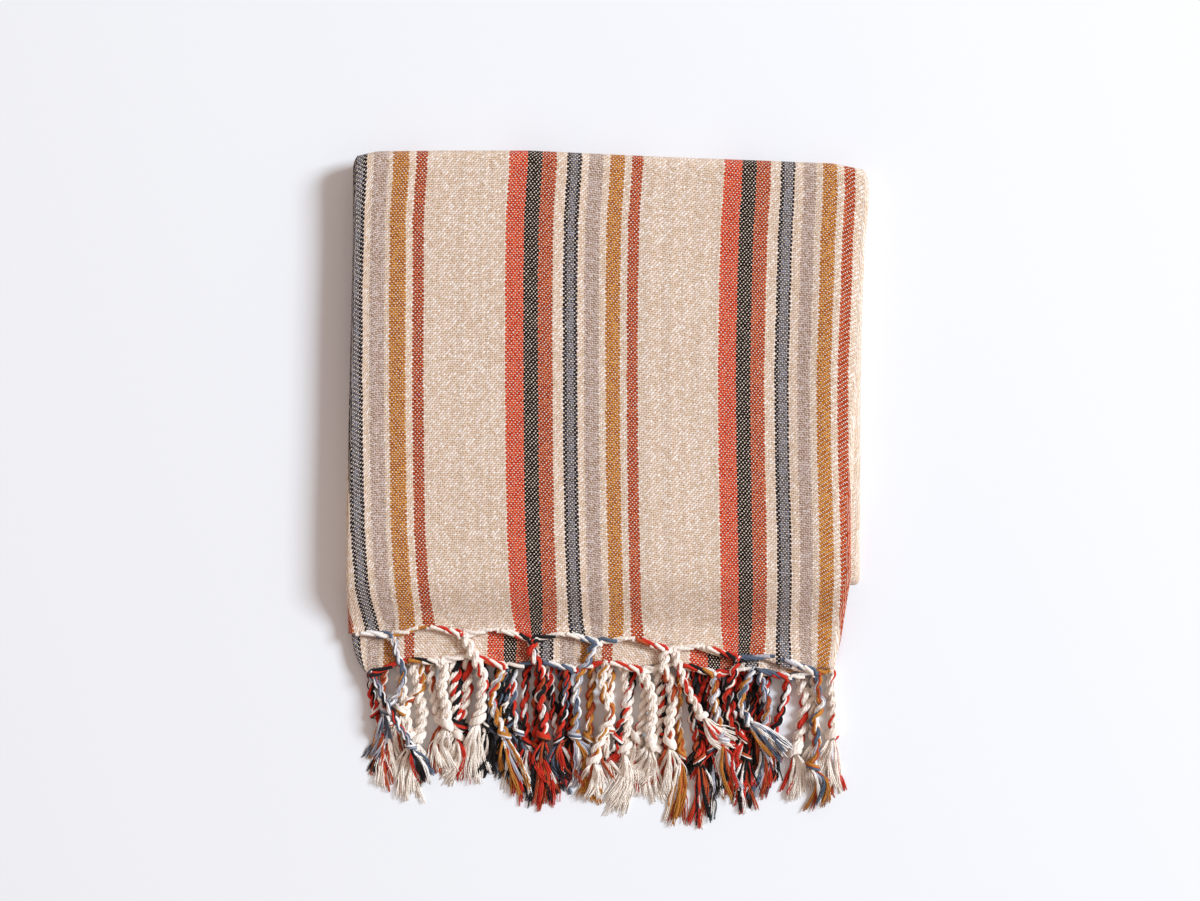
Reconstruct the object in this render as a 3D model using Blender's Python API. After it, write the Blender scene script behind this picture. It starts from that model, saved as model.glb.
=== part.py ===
"""A hammam towel, folded and laid flat: one woven cloth, and the knotted fringe at each of its two ends.

The cloth is folded in half with its fringed ends together, then in three across its width, then in three along
its length, so eighteen layers lie on one another. The front run reaches past the lower folds and comes down to
the floor, where the fringe lies. Sizes are in millimetres until make_object turns them into metres: X runs
across the towel, Y away from the fringe, and Z up from the floor.
"""

import math
from collections import namedtuple

import bmesh
import bpy
from mathutils import Vector

METRES = 0.001

# The cloth as it was cut
CLOTH_WIDTH = 1000.0
CLOTH_LENGTH = 1800.0
THICK = 1.0
GAP = 0.4  # between the cloth and the strip of its hem that holds a fringe

# The layers
PLY = 1.3  # from one layer to the next in the stack
HEM_PLY = 1.7  # and at the loose hems, where they spread
BUNDLE_PLIES = 6  # a doubled cloth folded in three
CORNER_SLOPE = 1.3  # how steeply the top edge falls away round a corner

# How finely the solid is cut
FOLD_STEPS = 4  # round each fold
RUN_STEPS = 4  # down each straight run
HEM_STEP = 24.0  # from bend to bend past the droop
CLOSE_ROWS = 0.8  # from bend to bend where a hem cuts them short
ROOT_CLEAR = 3.0  # no bend lies nearer than this to the middle of a cord's root

# The folded stack
LEFT = -170.0
RIGHT = 168.0
TOP = 222.8
BOTTOM_FOLD = -64.3
FRONT_LENGTH = 889.0  # of the cloth's length, from the hem on top to the first fold
FRONT_HEM = -98.0
LEFT_FLAP = 326.0
DROOP_START = -57.0
DROOP_SPAN = 38.0
LEAN_START = -60.0  # above here the top fold's slant begins

# The two ends of the doubled cloth, as the angle of its first fold
FRONT = -math.pi / 2
BACK = math.pi / 2

# One row for each crease or bend of the front third, as a share of its width: how far the top fold drops there,
# and how much further than its mean each hem reaches
Column = namedtuple("Column", "share top_drop front_more back_more")
COLUMNS = [
    Column(0.00, 3.5, 0.0, -12.0),
    Column(0.04, 0.5, -2.5, -1.0),
    Column(0.18, 0.0, -5.3, -9.0),
    Column(0.34, 0.0, -1.3, -3.0),
    Column(0.50, 2.5, 1.3, -3.0),
    Column(0.66, 4.8, 7.0, -1.5),
    Column(0.82, 6.8, 14.0, 2.0),
    Column(0.94, 8.6, 22.0, 7.0),
    Column(1.00, 12.5, 24.0, 9.0),
]

# The side edges, which wander: those of the front run, and those of the folds under it
Edge = namedtuple("Edge", "y front_left front_right back_left back_right")
EDGES = [
    Edge(222.8, -167.0, 172.3, -167.0, 172.3),
    Edge(205.0, -167.0, 172.3, -166.5, 172.3),
    Edge(175.0, -167.0, 169.6, -166.5, 169.6),
    Edge(104.0, -168.6, 167.0, -167.5, 168.3),
    Edge(58.0, -169.6, 164.0, -168.5, 167.6),
    Edge(-8.0, -171.2, 161.0, -170.0, 167.6),
    Edge(-57.0, -171.6, 160.4, -170.5, 167.3),
    Edge(-98.0, -171.0, 155.0, -170.5, 167.0),
    Edge(-122.0, -169.5, 151.1, -170.5, 167.0),
]

# The fringe: cords of twisted warp, each with a knot and a tuft of three locks
STRIP = 6.0  # depth of the hem that the cords grow from
SCALLOP = 2.0  # a cord pulls the hem down by this
CORD_PITCH = 47.6
ROOT_WIDTH = 5.0
CORD_WIDTH = 6.0
CORD_HEIGHT = 5.0
KNOT_WIDTH = 8.5
KNOT_LENGTH = 8.0
KNOT_TAPER = 3.0
TUFT_LENGTH = 34.0
LOCK_WIDTH = 2.2
LOCK_HEIGHT = 3.0
TIP_WIDTH = 1.4
TIP_HEIGHT = 1.2
LOWER_FAN = (3.0, 3.0)  # from lock to lock, half way along a tuft and at its tip
UPPER_FAN = (3.3, 4.0)
PARTED = -138.0  # past both hems, where the lower cords lie side by side
FULL = -145.0  # and where they have their full thickness
SETTLED = -151.0  # the upper cords lie on the lower ones from here
UPPER_LEVEL = CORD_HEIGHT + 0.4
CORD_STEP = 12.0

# The fourteen cords on top, from the left
Cord = namedtuple("Cord", "end root middle knot tip knot_y tip_y")
UPPER_CORDS = [
    Cord(BACK, -157.1, -151.1, -147.2, -149.8, -162.7, -199.0),
    Cord(FRONT, -144.5, -136.0, -131.3, -128.7, -169.3, -195.7),
    Cord(BACK, -110.2, -109.6, -106.3, -111.5, -154.1, -187.1),
    Cord(FRONT, -95.0, -84.5, -86.5, -90.4, -152.1, -194.4),
    Cord(BACK, -67.3, -73.3, -66.7, -63.4, -162.0, -203.0),
    Cord(FRONT, -46.9, -41.6, -41.6, -42.2, -168.0, -196.4),
    Cord(BACK, -21.1, -31.0, -32.0, -30.5, -154.0, -186.0),
    Cord(FRONT, -5.3, -19.8, -20.6, -16.8, -165.3, -196.4),
    Cord(BACK, 23.1, 8.6, 3.3, 5.9, -169.3, -215.5),
    Cord(FRONT, 40.3, 44.2, 41.6, 33.0, -168.6, -204.3),
    Cord(BACK, 54.8, 58.1, 63.4, 71.9, -154.0, -185.8),
    Cord(FRONT, 87.1, 79.9, 83.2, 86.5, -169.3, -209.6),
    Cord(BACK, 121.4, 118.1, 111.5, 108.9, -169.3, -205.6),
    Cord(FRONT, 138.6, 139.3, 136.0, 136.6, -183.8, -215.5),
]

# How far the tufts of the lower cords reach
Reach = namedtuple("Reach", "x y")
REACHES = [
    Reach(-165.0, -198.0),
    Reach(-110.0, -203.0),
    Reach(-60.0, -213.0),
    Reach(-20.0, -212.0),
    Reach(45.0, -222.5),
    Reach(75.0, -221.0),
    Reach(110.0, -218.0),
    Reach(150.0, -206.0),
]
FLAP_CORDS = 7  # on each flap, at each end of the cloth
LANES_LEFT = -164.0
LANES_RIGHT = 150.0
SWAY = 3.0
SWAY_ACROSS = 60.0
SWAY_DOWN = 20.0
SHORTER = 9.0  # a lower tuft may end this much before the reach
UNEVEN = 2.4  # the turn, in radians, from one lower tuft's length to the next one's

# Worked out from the sizes above
OUTER_PLIES = (BUNDLE_PLIES - 1) / 2
SKIN = OUTER_PLIES * PLY + THICK / 2  # from a bundle's middle to its face
TURN = BUNDLE_PLIES * PLY / 2  # radius of a bundle's middle round a fold
TOP_TURN = TOP - TURN - SKIN
BOTTOM_TURN = BOTTOM_FOLD + TURN + SKIN
LOW_RUN = SKIN
MIDDLE_RUN = LOW_RUN + 2 * TURN
HIGH_RUN = MIDDLE_RUN + 2 * TURN
HEM_RUN = THICK / 2 + OUTER_PLIES * HEM_PLY
LEFT_TURN = LEFT + 1.5 * PLY + THICK / 2
RIGHT_TURN = RIGHT - 2.5 * PLY - THICK / 2
THIRD = RIGHT_TURN - LEFT_TURN
LEFT_ARC = math.pi * PLY
RIGHT_ARC = 2 * math.pi * PLY
THIRD_START = LEFT_FLAP + LEFT_ARC
THIRD_END = THIRD_START + THIRD
RIGHT_FLAP_START = THIRD_END + RIGHT_ARC
BACK_HEM = FRONT_HEM - (CLOTH_LENGTH - 2 * FRONT_LENGTH)

# A smooth drop is longer than its span by about this share of its height squared over its span
DROP_SHARE = 0.6
DROOP_HEIGHT = HIGH_RUN - HEM_RUN
DROOP_LENGTH = DROOP_SPAN + DROP_SHARE * DROOP_HEIGHT**2 / DROOP_SPAN
DROOP_END = DROOP_START - DROOP_SPAN

# Where each stretch of the bundle begins, counted from the first fold
FRONT_RUN = FRONT_LENGTH - (DROOP_END - FRONT_HEM) - DROOP_LENGTH - (TOP_TURN - DROOP_START)
DROOP = FRONT_RUN + TOP_TURN - DROOP_START
TOP_FOLD = FRONT_RUN - math.pi * TURN
BACK_RUN = TOP_FOLD - (TOP_TURN - BOTTOM_TURN)
UNDER_FOLD = BACK_RUN - math.pi * TURN
FIRST_FOLD = BOTTOM_TURN + UNDER_FOLD  # its place in Y


def ease(share):
    """Goes smoothly from 0 to 1."""
    share = min(max(share, 0.0), 1.0)
    return share * share * (3 - 2 * share)


def ease_slope(share):
    """How steeply ease rises, for a share from 0 to 1."""
    return 6 * share * (1 - share)


def between(rows, key, at, value):
    """Reads a table between its rows, in straight lines; before its first row and past its last it stays level."""
    keys = [getattr(row, key) for row in rows]
    if keys[0] > keys[-1]:
        rows, keys = rows[::-1], keys[::-1]
    at = min(max(at, keys[0]), keys[-1])
    for first, second in zip(rows, rows[1:]):
        start, end = getattr(first, key), getattr(second, key)
        if at <= end:
            share = (at - start) / (end - start)
            return getattr(first, value) * (1 - share) + getattr(second, value) * share


def fold_across(u, lift, ply):
    """Folds both sides of the doubled cloth under its middle: gives X, and the way out of the bundle's front."""
    if u < LEFT_FLAP:
        return LEFT_TURN + LEFT_FLAP - u, -lift
    if u < THIRD_START:
        turn = math.pi * ((u - LEFT_FLAP) / LEFT_ARC - 0.5)
        return LEFT_TURN - math.cos(turn) * (ply + lift), ply + math.sin(turn) * (ply + lift)
    if u <= THIRD_END:
        return LEFT_TURN + u - THIRD_START, 2 * ply + lift
    if u < RIGHT_FLAP_START:
        turn = math.pi * (0.5 - (u - THIRD_END) / RIGHT_ARC)
        return RIGHT_TURN + math.cos(turn) * (2 * ply + lift), math.sin(turn) * (2 * ply + lift)
    return RIGHT_TURN - (u - RIGHT_FLAP_START), -2 * ply - lift


def ply_at(s):
    """The layers lie close in the stack and spread a little towards the hems."""
    return PLY + (HEM_PLY - PLY) * ease((s - DROOP) / DROOP_LENGTH)


def fold_along(s, out):
    """Takes the bundle down from the first fold, up and over the top, and down to the floor: gives Y and Z."""
    if s < UNDER_FOLD:
        return FIRST_FOLD - s, LOW_RUN + out
    if s < BACK_RUN:
        turn = (s - UNDER_FOLD) / TURN - math.pi / 2
        reach = TURN - out
        return BOTTOM_TURN - math.cos(turn) * reach, LOW_RUN + TURN + math.sin(turn) * reach
    if s < TOP_FOLD:
        return BOTTOM_TURN + s - BACK_RUN, MIDDLE_RUN - out
    if s < FRONT_RUN:
        turn = (s - TOP_FOLD) / TURN - math.pi / 2
        reach = TURN + out
        return TOP_TURN + math.cos(turn) * reach, MIDDLE_RUN + TURN + math.sin(turn) * reach
    if s < DROOP:
        return TOP_TURN - (s - FRONT_RUN), HIGH_RUN + out
    share = (s - DROOP) / DROOP_LENGTH
    if share >= 1:
        return DROOP_END - (s - DROOP - DROOP_LENGTH), HEM_RUN + out
    slope = math.atan(DROOP_HEIGHT / DROOP_SPAN * ease_slope(share))
    y = DROOP_START - share * DROOP_SPAN - math.sin(slope) * out
    return y, HIGH_RUN - DROOP_HEIGHT * ease(share) + math.cos(slope) * out


def along_at(y):
    """The way along the bundle to a place in Y on its front run, past the start of the droop."""
    if y > DROOP_END:
        return DROOP + (DROOP_START - y) * DROOP_LENGTH / DROOP_SPAN
    return DROOP + DROOP_LENGTH + DROOP_END - y


def share_of(x):
    return (x - LEFT_TURN) / THIRD


def draw_in(x, y, front):
    """Brings the straight stack to its real outline: the side edges wander and the top fold slants."""
    side = "front_" if front else "back_"
    left = between(EDGES, "y", y, side + "left")
    right = between(EDGES, "y", y, side + "right")
    round_corner = CORNER_SLOPE * (max(LEFT_TURN - x, 0) + max(x - RIGHT_TURN, 0))
    drop = between(COLUMNS, "share", share_of(x), "top_drop") + round_corner
    drop *= ease((y - LEAN_START) / (TOP - LEAN_START))
    return left + (x - LEFT) / (RIGHT - LEFT) * (right - left), y - drop


def lay(u, s, end, out):
    """Where a point of the cloth lies: u across it, s along it from the first fold, out of its right side."""
    way = s - math.cos(end) * (PLY / 2 + out)
    ply = ply_at(way)
    x, depth = fold_across(u, -math.sin(end) * (ply / 2 + out), ply)
    y, z = fold_along(way, depth)
    x, y = draw_in(x, y, way > (TOP_FOLD + FRONT_RUN) / 2)
    return Vector((x, y, z))


def hem_at(u, end):
    """How far along the cloth its hem is, at this place across it."""
    share = share_of(fold_across(u, 0, HEM_PLY)[0])
    if end == FRONT:
        return along_at(FRONT_HEM - between(COLUMNS, "share", share, "front_more"))
    return along_at(BACK_HEM - between(COLUMNS, "share", share, "back_more"))


def steps(start, end, count):
    """Evenly spaced values from start up to, and without, end."""
    return [start + (end - start) * i / count for i in range(count)]


def bends_across():
    """The places across the cloth where it may bend: the same in each third, and a few round each fold."""
    shares = [column.share for column in COLUMNS]
    left_end = LEFT_FLAP / THIRD
    left = [left_end] + [share for share in reversed(shares) if 0 < share < left_end]
    right_end = 1 - (CLOTH_WIDTH - RIGHT_FLAP_START) / THIRD
    right = [share for share in reversed(shares) if share > right_end] + [right_end]
    return (
        [LEFT_FLAP - share * THIRD for share in left]
        + steps(LEFT_FLAP, THIRD_START, FOLD_STEPS)
        + [THIRD_START + share * THIRD for share in shares[:-1]]
        + steps(THIRD_END, RIGHT_FLAP_START, FOLD_STEPS)
        + [RIGHT_FLAP_START + (1 - share) * THIRD for share in right]
    )


def bends_along():
    """The places along the bundle where it may bend, from the first fold to past the hems."""
    floor = DROOP + DROOP_LENGTH
    return (
        steps(PLY / 2, UNDER_FOLD, RUN_STEPS)
        + steps(UNDER_FOLD, BACK_RUN, FOLD_STEPS)
        + steps(BACK_RUN, TOP_FOLD, RUN_STEPS)
        + steps(TOP_FOLD, FRONT_RUN, FOLD_STEPS)
        + steps(FRONT_RUN, DROOP, RUN_STEPS)
        + steps(DROOP, floor, FOLD_STEPS)
        + [floor, floor + HEM_STEP / 2, floor + 2 * HEM_STEP]
    )


def shell(bm, outer, inner, roots=()):
    """Closes two grids of corners, one for each side of the cloth, into one solid, left open at the cords' roots."""
    last = len(outer[0]) - 1
    for near_out, far_out, near_in, far_in in zip(outer, outer[1:], inner, inner[1:]):
        for c in range(last):
            bm.faces.new((near_out[c], near_out[c + 1], far_out[c + 1], far_out[c]))
            bm.faces.new((near_in[c], far_in[c], far_in[c + 1], near_in[c + 1]))
        bm.faces.new((far_out[0], far_in[0], near_in[0], near_out[0]))
        bm.faces.new((near_out[last], near_in[last], far_in[last], far_out[last]))
    for c in range(last):
        bm.faces.new((outer[0][c], inner[0][c], inner[0][c + 1], outer[0][c + 1]))
        if c not in roots:
            bm.faces.new((outer[-1][c + 1], inner[-1][c + 1], inner[-1][c], outer[-1][c]))


def make_cloth():
    """The cloth from one hem to the other, less the strips that the cords grow from."""
    along = bends_along()
    rows = [(s, FRONT) for s in reversed(along)]
    rows += [(PLY / 2, end) for end in steps(FRONT, BACK, FOLD_STEPS)[1:]]
    rows += [(s, BACK) for s in along]
    bm = bmesh.new()

    def place(u, s, end, out):
        rows_left = len(along) - 1 - along.index(s)
        if end in (FRONT, BACK):
            s = min(s, hem_at(u, end) - STRIP - GAP - rows_left * CLOSE_ROWS)
        return bm.verts.new(lay(u, s, end, out))

    sides = [[[place(u, *row, out) for u in bends_across()] for row in rows] for out in (THICK / 2, -THICK / 2)]
    shell(bm, *sides)
    return bm


def section(bm, x, y, low, width, height):
    """The four corners of a strand: left low, right low, right high, left high."""
    left, right, high = x - width / 2, x + width / 2, low + height
    return [bm.verts.new((i, y, j)) for i, j in ((left, low), (right, low), (right, high), (left, high))]


def skin(bm, near, far, sides=(0, 1, 2, 3)):
    """Joins two sections of a strand by its sides: 0 is the lower one, 1 right, 2 upper and 3 left."""
    for i in sides:
        j = (i + 1) % 4
        bm.faces.new((near[i], near[j], far[j], far[i]))


def grow_lock(bm, root, middle_place, tip_place, low):
    """One lock of a tuft: it narrows and thins towards its tip."""
    middle = section(bm, *middle_place, low, LOCK_WIDTH, LOCK_HEIGHT)
    tip = section(bm, *tip_place, low, TIP_WIDTH, TIP_HEIGHT)
    skin(bm, root, middle)
    skin(bm, middle, tip)
    bm.faces.new(tip)


def grow_cord(bm, root, stops, low, fan, knot_x, knot_y, tip_x, tip_y):
    """One cord: the stops, each (x, y, low, width, height), then its knot and the three locks of its tuft."""
    near = root
    end = knot_y - KNOT_LENGTH
    stops = stops + [
        (knot_x, knot_y + KNOT_TAPER, low, CORD_WIDTH, CORD_HEIGHT),
        (knot_x, knot_y, low, KNOT_WIDTH, CORD_HEIGHT),
        (knot_x, end, low, KNOT_WIDTH, CORD_HEIGHT),
    ]
    for stop in stops:
        far = section(bm, *stop)
        skin(bm, near, far)
        near = far
    neck = section(bm, knot_x, end - KNOT_TAPER, low, CORD_WIDTH - 1, CORD_HEIGHT - 1)
    skin(bm, near, neck, sides=(0, 2))
    left = [near[0], neck[0], neck[3], near[3]]
    right = [neck[1], near[1], near[2], neck[2]]
    for lean, start in ((-1, left), (0, neck), (1, right)):
        middle = ((knot_x + tip_x) / 2 + lean * fan[0], (end + tip_y) / 2)
        grow_lock(bm, start, middle, (tip_x + lean * fan[1], tip_y + abs(lean) * TIP_WIDTH), low)


def layer_low(u, end):
    """The underside of this layer where it lies on the floor with those below it."""
    depth = fold_across(u, -math.sin(end) * HEM_PLY / 2, HEM_PLY)[1]
    return HEM_RUN + depth - THICK / 2


def root_place(x, end):
    """How far across the cloth a cord of the front third has its root."""
    y = FRONT_HEM if end == FRONT else BACK_HEM
    left = between(EDGES, "y", y, "front_left")
    right = between(EDGES, "y", y, "front_right")
    straight = LEFT + (x - left) / (right - left) * (RIGHT - LEFT)
    return THIRD_START + straight - LEFT_TURN


def flap_roots(end):
    """The roots on the two flaps carry on at the same pitch past those of the front third."""
    middle = [root_place(cord.root, end) for cord in UPPER_CORDS if cord.end == end]
    ways = [CORD_PITCH * (i + 1) for i in range(FLAP_CORDS)]
    return [middle[0] - way for way in reversed(ways)] + [middle[-1] + way for way in ways]


def lane_order():
    """The cords of the flaps from left to right, each as (end, place across the cloth)."""
    roots = [(end, u) for end in (FRONT, BACK) for u in flap_roots(end)]
    return sorted(roots, key=lambda root: fold_across(root[1], 0, HEM_PLY)[0])


def upper_stops(cord, low, root_y):
    """An upper cord thickens at once, lies over the hem below it, and then on the lower cords."""
    stops = [(cord.root, root_y - ROOT_WIDTH, low, CORD_WIDTH, CORD_HEIGHT)]
    stops.append((cord.middle, PARTED, low, CORD_WIDTH, CORD_HEIGHT))
    settled_x = (cord.middle + cord.knot) / 2
    if cord.knot_y < SETTLED - CORD_STEP:
        stops.append((settled_x, SETTLED, UPPER_LEVEL, CORD_WIDTH, CORD_HEIGHT))
    return stops


def lower_stops(x_at, low, knot_y):
    """A lower cord leaves flat between the layers, and thickens where the cords lie side by side on the floor."""
    stops = [(x_at(PARTED), PARTED, low, ROOT_WIDTH, THICK)]
    y = FULL
    while y > knot_y + CORD_STEP / 2 + KNOT_TAPER:
        stops.append((x_at(y), y, 0.0, CORD_WIDTH, CORD_HEIGHT))
        y -= CORD_STEP
    return stops


def near_any(places, u, clear):
    """Whether a place across the cloth is nearer than this to any of the others."""
    return any(abs(u - place) < clear for place in places)


def strip_places(roots, edges):
    """Where the strip of a hem may bend: at the edges of each root, with the cloth, and half way from root to root."""
    bends = [u for u in bends_across() if not near_any(roots, u, ROOT_CLEAR)]
    halfway = [(a + b) / 2 for a, b in zip(edges[1::2], edges[2::2])]
    halfway = [u for u in halfway if not near_any(bends, u, ROOT_WIDTH)]
    return sorted(edges + bends + halfway)


def root_corners(corners):
    """The four corners of a root in the order of a section: left low, right low, right high, left high."""
    by_height = sorted(corners, key=lambda v: v.co.z)
    low_pair = sorted(by_height[:2], key=lambda v: v.co.x)
    high_pair = sorted(by_height[2:], key=lambda v: v.co.x)
    return low_pair + high_pair[::-1]


def make_fringe(end):
    """A strip of the hem with its cords: seven on the front third, and seven on each flap."""
    bm = bmesh.new()
    upper = {root_place(cord.root, end): cord for cord in UPPER_CORDS if cord.end == end}
    lower = {root: lane for lane, root in enumerate(lane_order())}
    roots = sorted(list(upper) + flap_roots(end))
    edges = [u + side * ROOT_WIDTH / 2 for u in roots for side in (-1, 1)]
    across = strip_places(roots, edges)

    def row(back, out):
        corners = []
        for u in across:
            dip = 0.0 if back else SCALLOP * (1 if u in edges else -1)
            corners.append(bm.verts.new(lay(u, hem_at(u, end) - back + dip, end, out)))
        return corners

    outer, inner = ([row(STRIP, out), row(0.0, out)] for out in (THICK / 2, -THICK / 2))
    root_cells = {across.index(u - ROOT_WIDTH / 2): u for u in roots}
    shell(bm, outer, inner, root_cells)
    for cell, u in root_cells.items():
        root = root_corners([side[-1][c] for side in (outer, inner) for c in (cell, cell + 1)])
        low = layer_low(u, end)
        if u in upper:
            cord = upper[u]
            stops = upper_stops(cord, low, root[0].co.y)
            grow_cord(bm, root, stops, UPPER_LEVEL, UPPER_FAN, cord.knot, cord.knot_y, cord.tip, cord.tip_y)
            continue
        lane = lower[(end, u)]
        lane_x = LANES_LEFT + (lane + 0.5) * (LANES_RIGHT - LANES_LEFT) / len(lower)

        def x_at(y):
            return lane_x + SWAY * math.sin(lane_x / SWAY_ACROSS + y / SWAY_DOWN)

        tip_y = between(REACHES, "x", lane_x, "y") + SHORTER * (1 + math.sin(UNEVEN * lane)) / 2
        knot_y = tip_y + TUFT_LENGTH
        stops = lower_stops(x_at, low, knot_y)
        grow_cord(bm, root, stops, 0.0, LOWER_FAN, x_at(knot_y), knot_y, x_at(tip_y), tip_y)
    return bm


def material(name, colour, roughness):
    made = bpy.data.materials.new(name)
    made.use_nodes = True
    shader = made.node_tree.nodes["Principled BSDF"]
    shader.inputs["Base Color"].default_value = (*colour, 1.0)
    shader.inputs["Roughness"].default_value = roughness
    return made


def make_object(name, bm, finish, centre):
    """Turns a solid into a named object in metres, with the middle of the towel's base at the origin."""
    bmesh.ops.translate(bm, verts=bm.verts, vec=-centre)
    bmesh.ops.scale(bm, verts=bm.verts, vec=(METRES, METRES, METRES))
    bmesh.ops.recalc_face_normals(bm, faces=bm.faces)
    mesh = bpy.data.meshes.new(name)
    bm.to_mesh(mesh)
    bm.free()
    mesh.shade_smooth()
    mesh.set_sharp_from_angle(angle=math.radians(40))
    mesh.materials.append(finish)
    made = bpy.data.objects.new(name, mesh)
    bpy.context.scene.collection.objects.link(made)
    return made


for old in list(bpy.data.objects):
    bpy.data.objects.remove(old)

solids = {"towel_cloth": make_cloth(), "fringe_front": make_fringe(FRONT), "fringe_back": make_fringe(BACK)}
finishes = {
    "towel_cloth": material("striped_cotton", (0.72, 0.58, 0.47), 0.9),
    "fringe_front": material("twisted_cotton", (0.66, 0.46, 0.34), 0.9),
    "fringe_back": material("twisted_cotton_back", (0.55, 0.38, 0.30), 0.9),
}
corners = [vert.co for bm in solids.values() for vert in bm.verts]
lowest = Vector((min(c.x for c in corners), min(c.y for c in corners), 0.0))
highest = Vector((max(c.x for c in corners), max(c.y for c in corners), 0.0))
for name, bm in solids.items():
    make_object(name, bm, finishes[name], (lowest + highest) / 2)
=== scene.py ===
"""A folded hammam towel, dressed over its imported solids: the woven cloth, the warp gathered along its hems,
the twisted cords that the warp ends in, and the cords' knots and tufts.

Sizes are in millimetres, in the frame that the solids were drawn in, until to_row turns them into metres in
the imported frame. X runs across the towel, Y away from the fringe and Z up from the table.
"""

import math
import random
from collections import namedtuple
from functools import partial

import bpy
import numpy as np
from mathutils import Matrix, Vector


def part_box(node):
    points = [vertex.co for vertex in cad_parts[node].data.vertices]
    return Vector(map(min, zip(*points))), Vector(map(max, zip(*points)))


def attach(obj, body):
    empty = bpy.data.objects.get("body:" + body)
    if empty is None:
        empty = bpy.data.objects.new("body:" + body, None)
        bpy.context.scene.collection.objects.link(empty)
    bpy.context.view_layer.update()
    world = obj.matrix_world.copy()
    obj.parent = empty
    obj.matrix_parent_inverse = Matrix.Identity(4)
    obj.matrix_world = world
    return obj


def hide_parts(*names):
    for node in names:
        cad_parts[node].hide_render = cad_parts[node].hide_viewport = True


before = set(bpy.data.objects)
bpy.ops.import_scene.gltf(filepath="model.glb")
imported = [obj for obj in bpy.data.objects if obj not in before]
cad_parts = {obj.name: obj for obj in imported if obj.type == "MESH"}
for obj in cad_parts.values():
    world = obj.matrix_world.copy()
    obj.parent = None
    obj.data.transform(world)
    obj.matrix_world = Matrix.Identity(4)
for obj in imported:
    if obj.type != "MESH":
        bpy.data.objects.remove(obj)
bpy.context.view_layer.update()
MM = 0.001


# The view: straight down on the towel, from high above it, at the photograph's scale at the height of its
# top layer
PICTURE = (1200, 901)
SENSOR = 36.0
PIXEL = 0.6565  # of the towel's top layer
VIEW_HEIGHT = 1500.0
TOP_LAYER = 22.0
VIEW_X = -5.0
VIEW_Y = 24.1


def new_object(name, data):
    made = bpy.data.objects.new(name, data)
    bpy.context.scene.collection.objects.link(made)
    return made


camera = new_object("camera", bpy.data.cameras.new("camera"))
camera.data.sensor_width = SENSOR
camera.data.lens = SENSOR * VIEW_HEIGHT / (PICTURE[0] * PIXEL)
camera.location = (VIEW_X * MM, VIEW_Y * MM, (VIEW_HEIGHT + TOP_LAYER) * MM)
bpy.context.scene.camera = camera
bpy.context.scene.view_settings.view_transform = "Standard"


# The studio: a plain pale table, even light from all round, and one large soft lamp to the right of the towel
# and a little above it in the picture, high enough for short shadows. Its sizes are in metres.
TABLE_WIDTH = 24.0
TABLE_COLOUR = (0.86, 0.86, 0.86)
ROOM_COLOUR = (1.0, 0.84, 0.78)
ROOM_LIGHT = 0.508
LAMP_AWAY = 9.0
LAMP_SIZE = 2.96
LAMP_HEIGHT = math.radians(35.2)
LAMP_TURN = math.radians(20)
LAMP_POWER = 1045.0
LAMP_COLOUR = (0.757, 0.88, 1.0)


def feed(tree, socket, value):
    """Puts a number, a colour or another node's output into a socket; None leaves it as it is."""
    if isinstance(value, bpy.types.NodeSocket):
        tree.links.new(value, socket)
    elif value is not None:
        socket.default_value = value


def node(tree, kind, values=(), **settings):
    """Adds one node, with the values of its inputs in order."""
    made = tree.nodes.new("ShaderNode" + kind)
    for name, value in settings.items():
        setattr(made, name, value)
    for socket, value in zip(made.inputs, values):
        feed(tree, socket, value)
    return made


def new_material(name, **sockets):
    """A material with its shader's own sockets set: gives the material, its node tree and its shader."""
    made = bpy.data.materials.new(name)
    made.use_nodes = True
    shader = made.node_tree.nodes["Principled BSDF"]
    for socket, value in sockets.items():
        shader.inputs[socket.replace("_", " ")].default_value = value
    return made, made.node_tree, shader


table_mesh = bpy.data.meshes.new("table")
half = TABLE_WIDTH / 2
table_corners = [(-half, -half, 0), (half, -half, 0), (half, half, 0), (-half, half, 0)]
table_mesh.from_pydata(table_corners, [], [(0, 1, 2, 3)])
table = new_object("table", table_mesh)
table_finish, _, _ = new_material("plain_table", Base_Color=(*TABLE_COLOUR, 1.0), Roughness=0.8)
table_mesh.materials.append(table_finish)

room = bpy.data.worlds.new("room")
room.use_nodes = True
walls = room.node_tree.nodes["Background"].inputs
walls["Color"].default_value = (*ROOM_COLOUR, 1.0)
walls["Strength"].default_value = ROOM_LIGHT
bpy.context.scene.world = room

lamp = new_object("lamp", bpy.data.lights.new("lamp", "AREA"))
lamp.data.size = LAMP_SIZE
lamp.data.energy = LAMP_POWER
lamp.data.color = LAMP_COLOUR
level = math.cos(LAMP_HEIGHT)
towards_lamp = Vector((level * math.cos(LAMP_TURN), level * math.sin(LAMP_TURN), math.sin(LAMP_HEIGHT)))
lamp.location = towards_lamp * LAMP_AWAY
lamp.rotation_euler = towards_lamp.to_track_quat("Z", "Y").to_euler()


# The cloth: one flat-woven cotton towel, cut from the loom at 1 by 1.8 m, its warp left long at both ends. It
# is folded in half with its ends together, then in three across, then in three along: eighteen layers.
CLOTH_WIDTH = 1000.0
CLOTH_LENGTH = 1800.0
THICK = 0.9
PLY = 1.3
HEM_PLY = 1.7
LEFT = -170.0
RIGHT = 168.0
TOP = 222.8
BOTTOM_FOLD = -64.3
FRONT_LENGTH = 889.0
FRONT_HEM = -98.0
LEFT_FLAP = 326.0
DROOP_START = -57.0
DROOP_SPAN = 38.0
LEAN_START = -60.0
CORNER_SLOPE = 1.3
SOLID_THICK = 1.0
FRONT = -math.pi / 2
BACK = math.pi / 2

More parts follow.
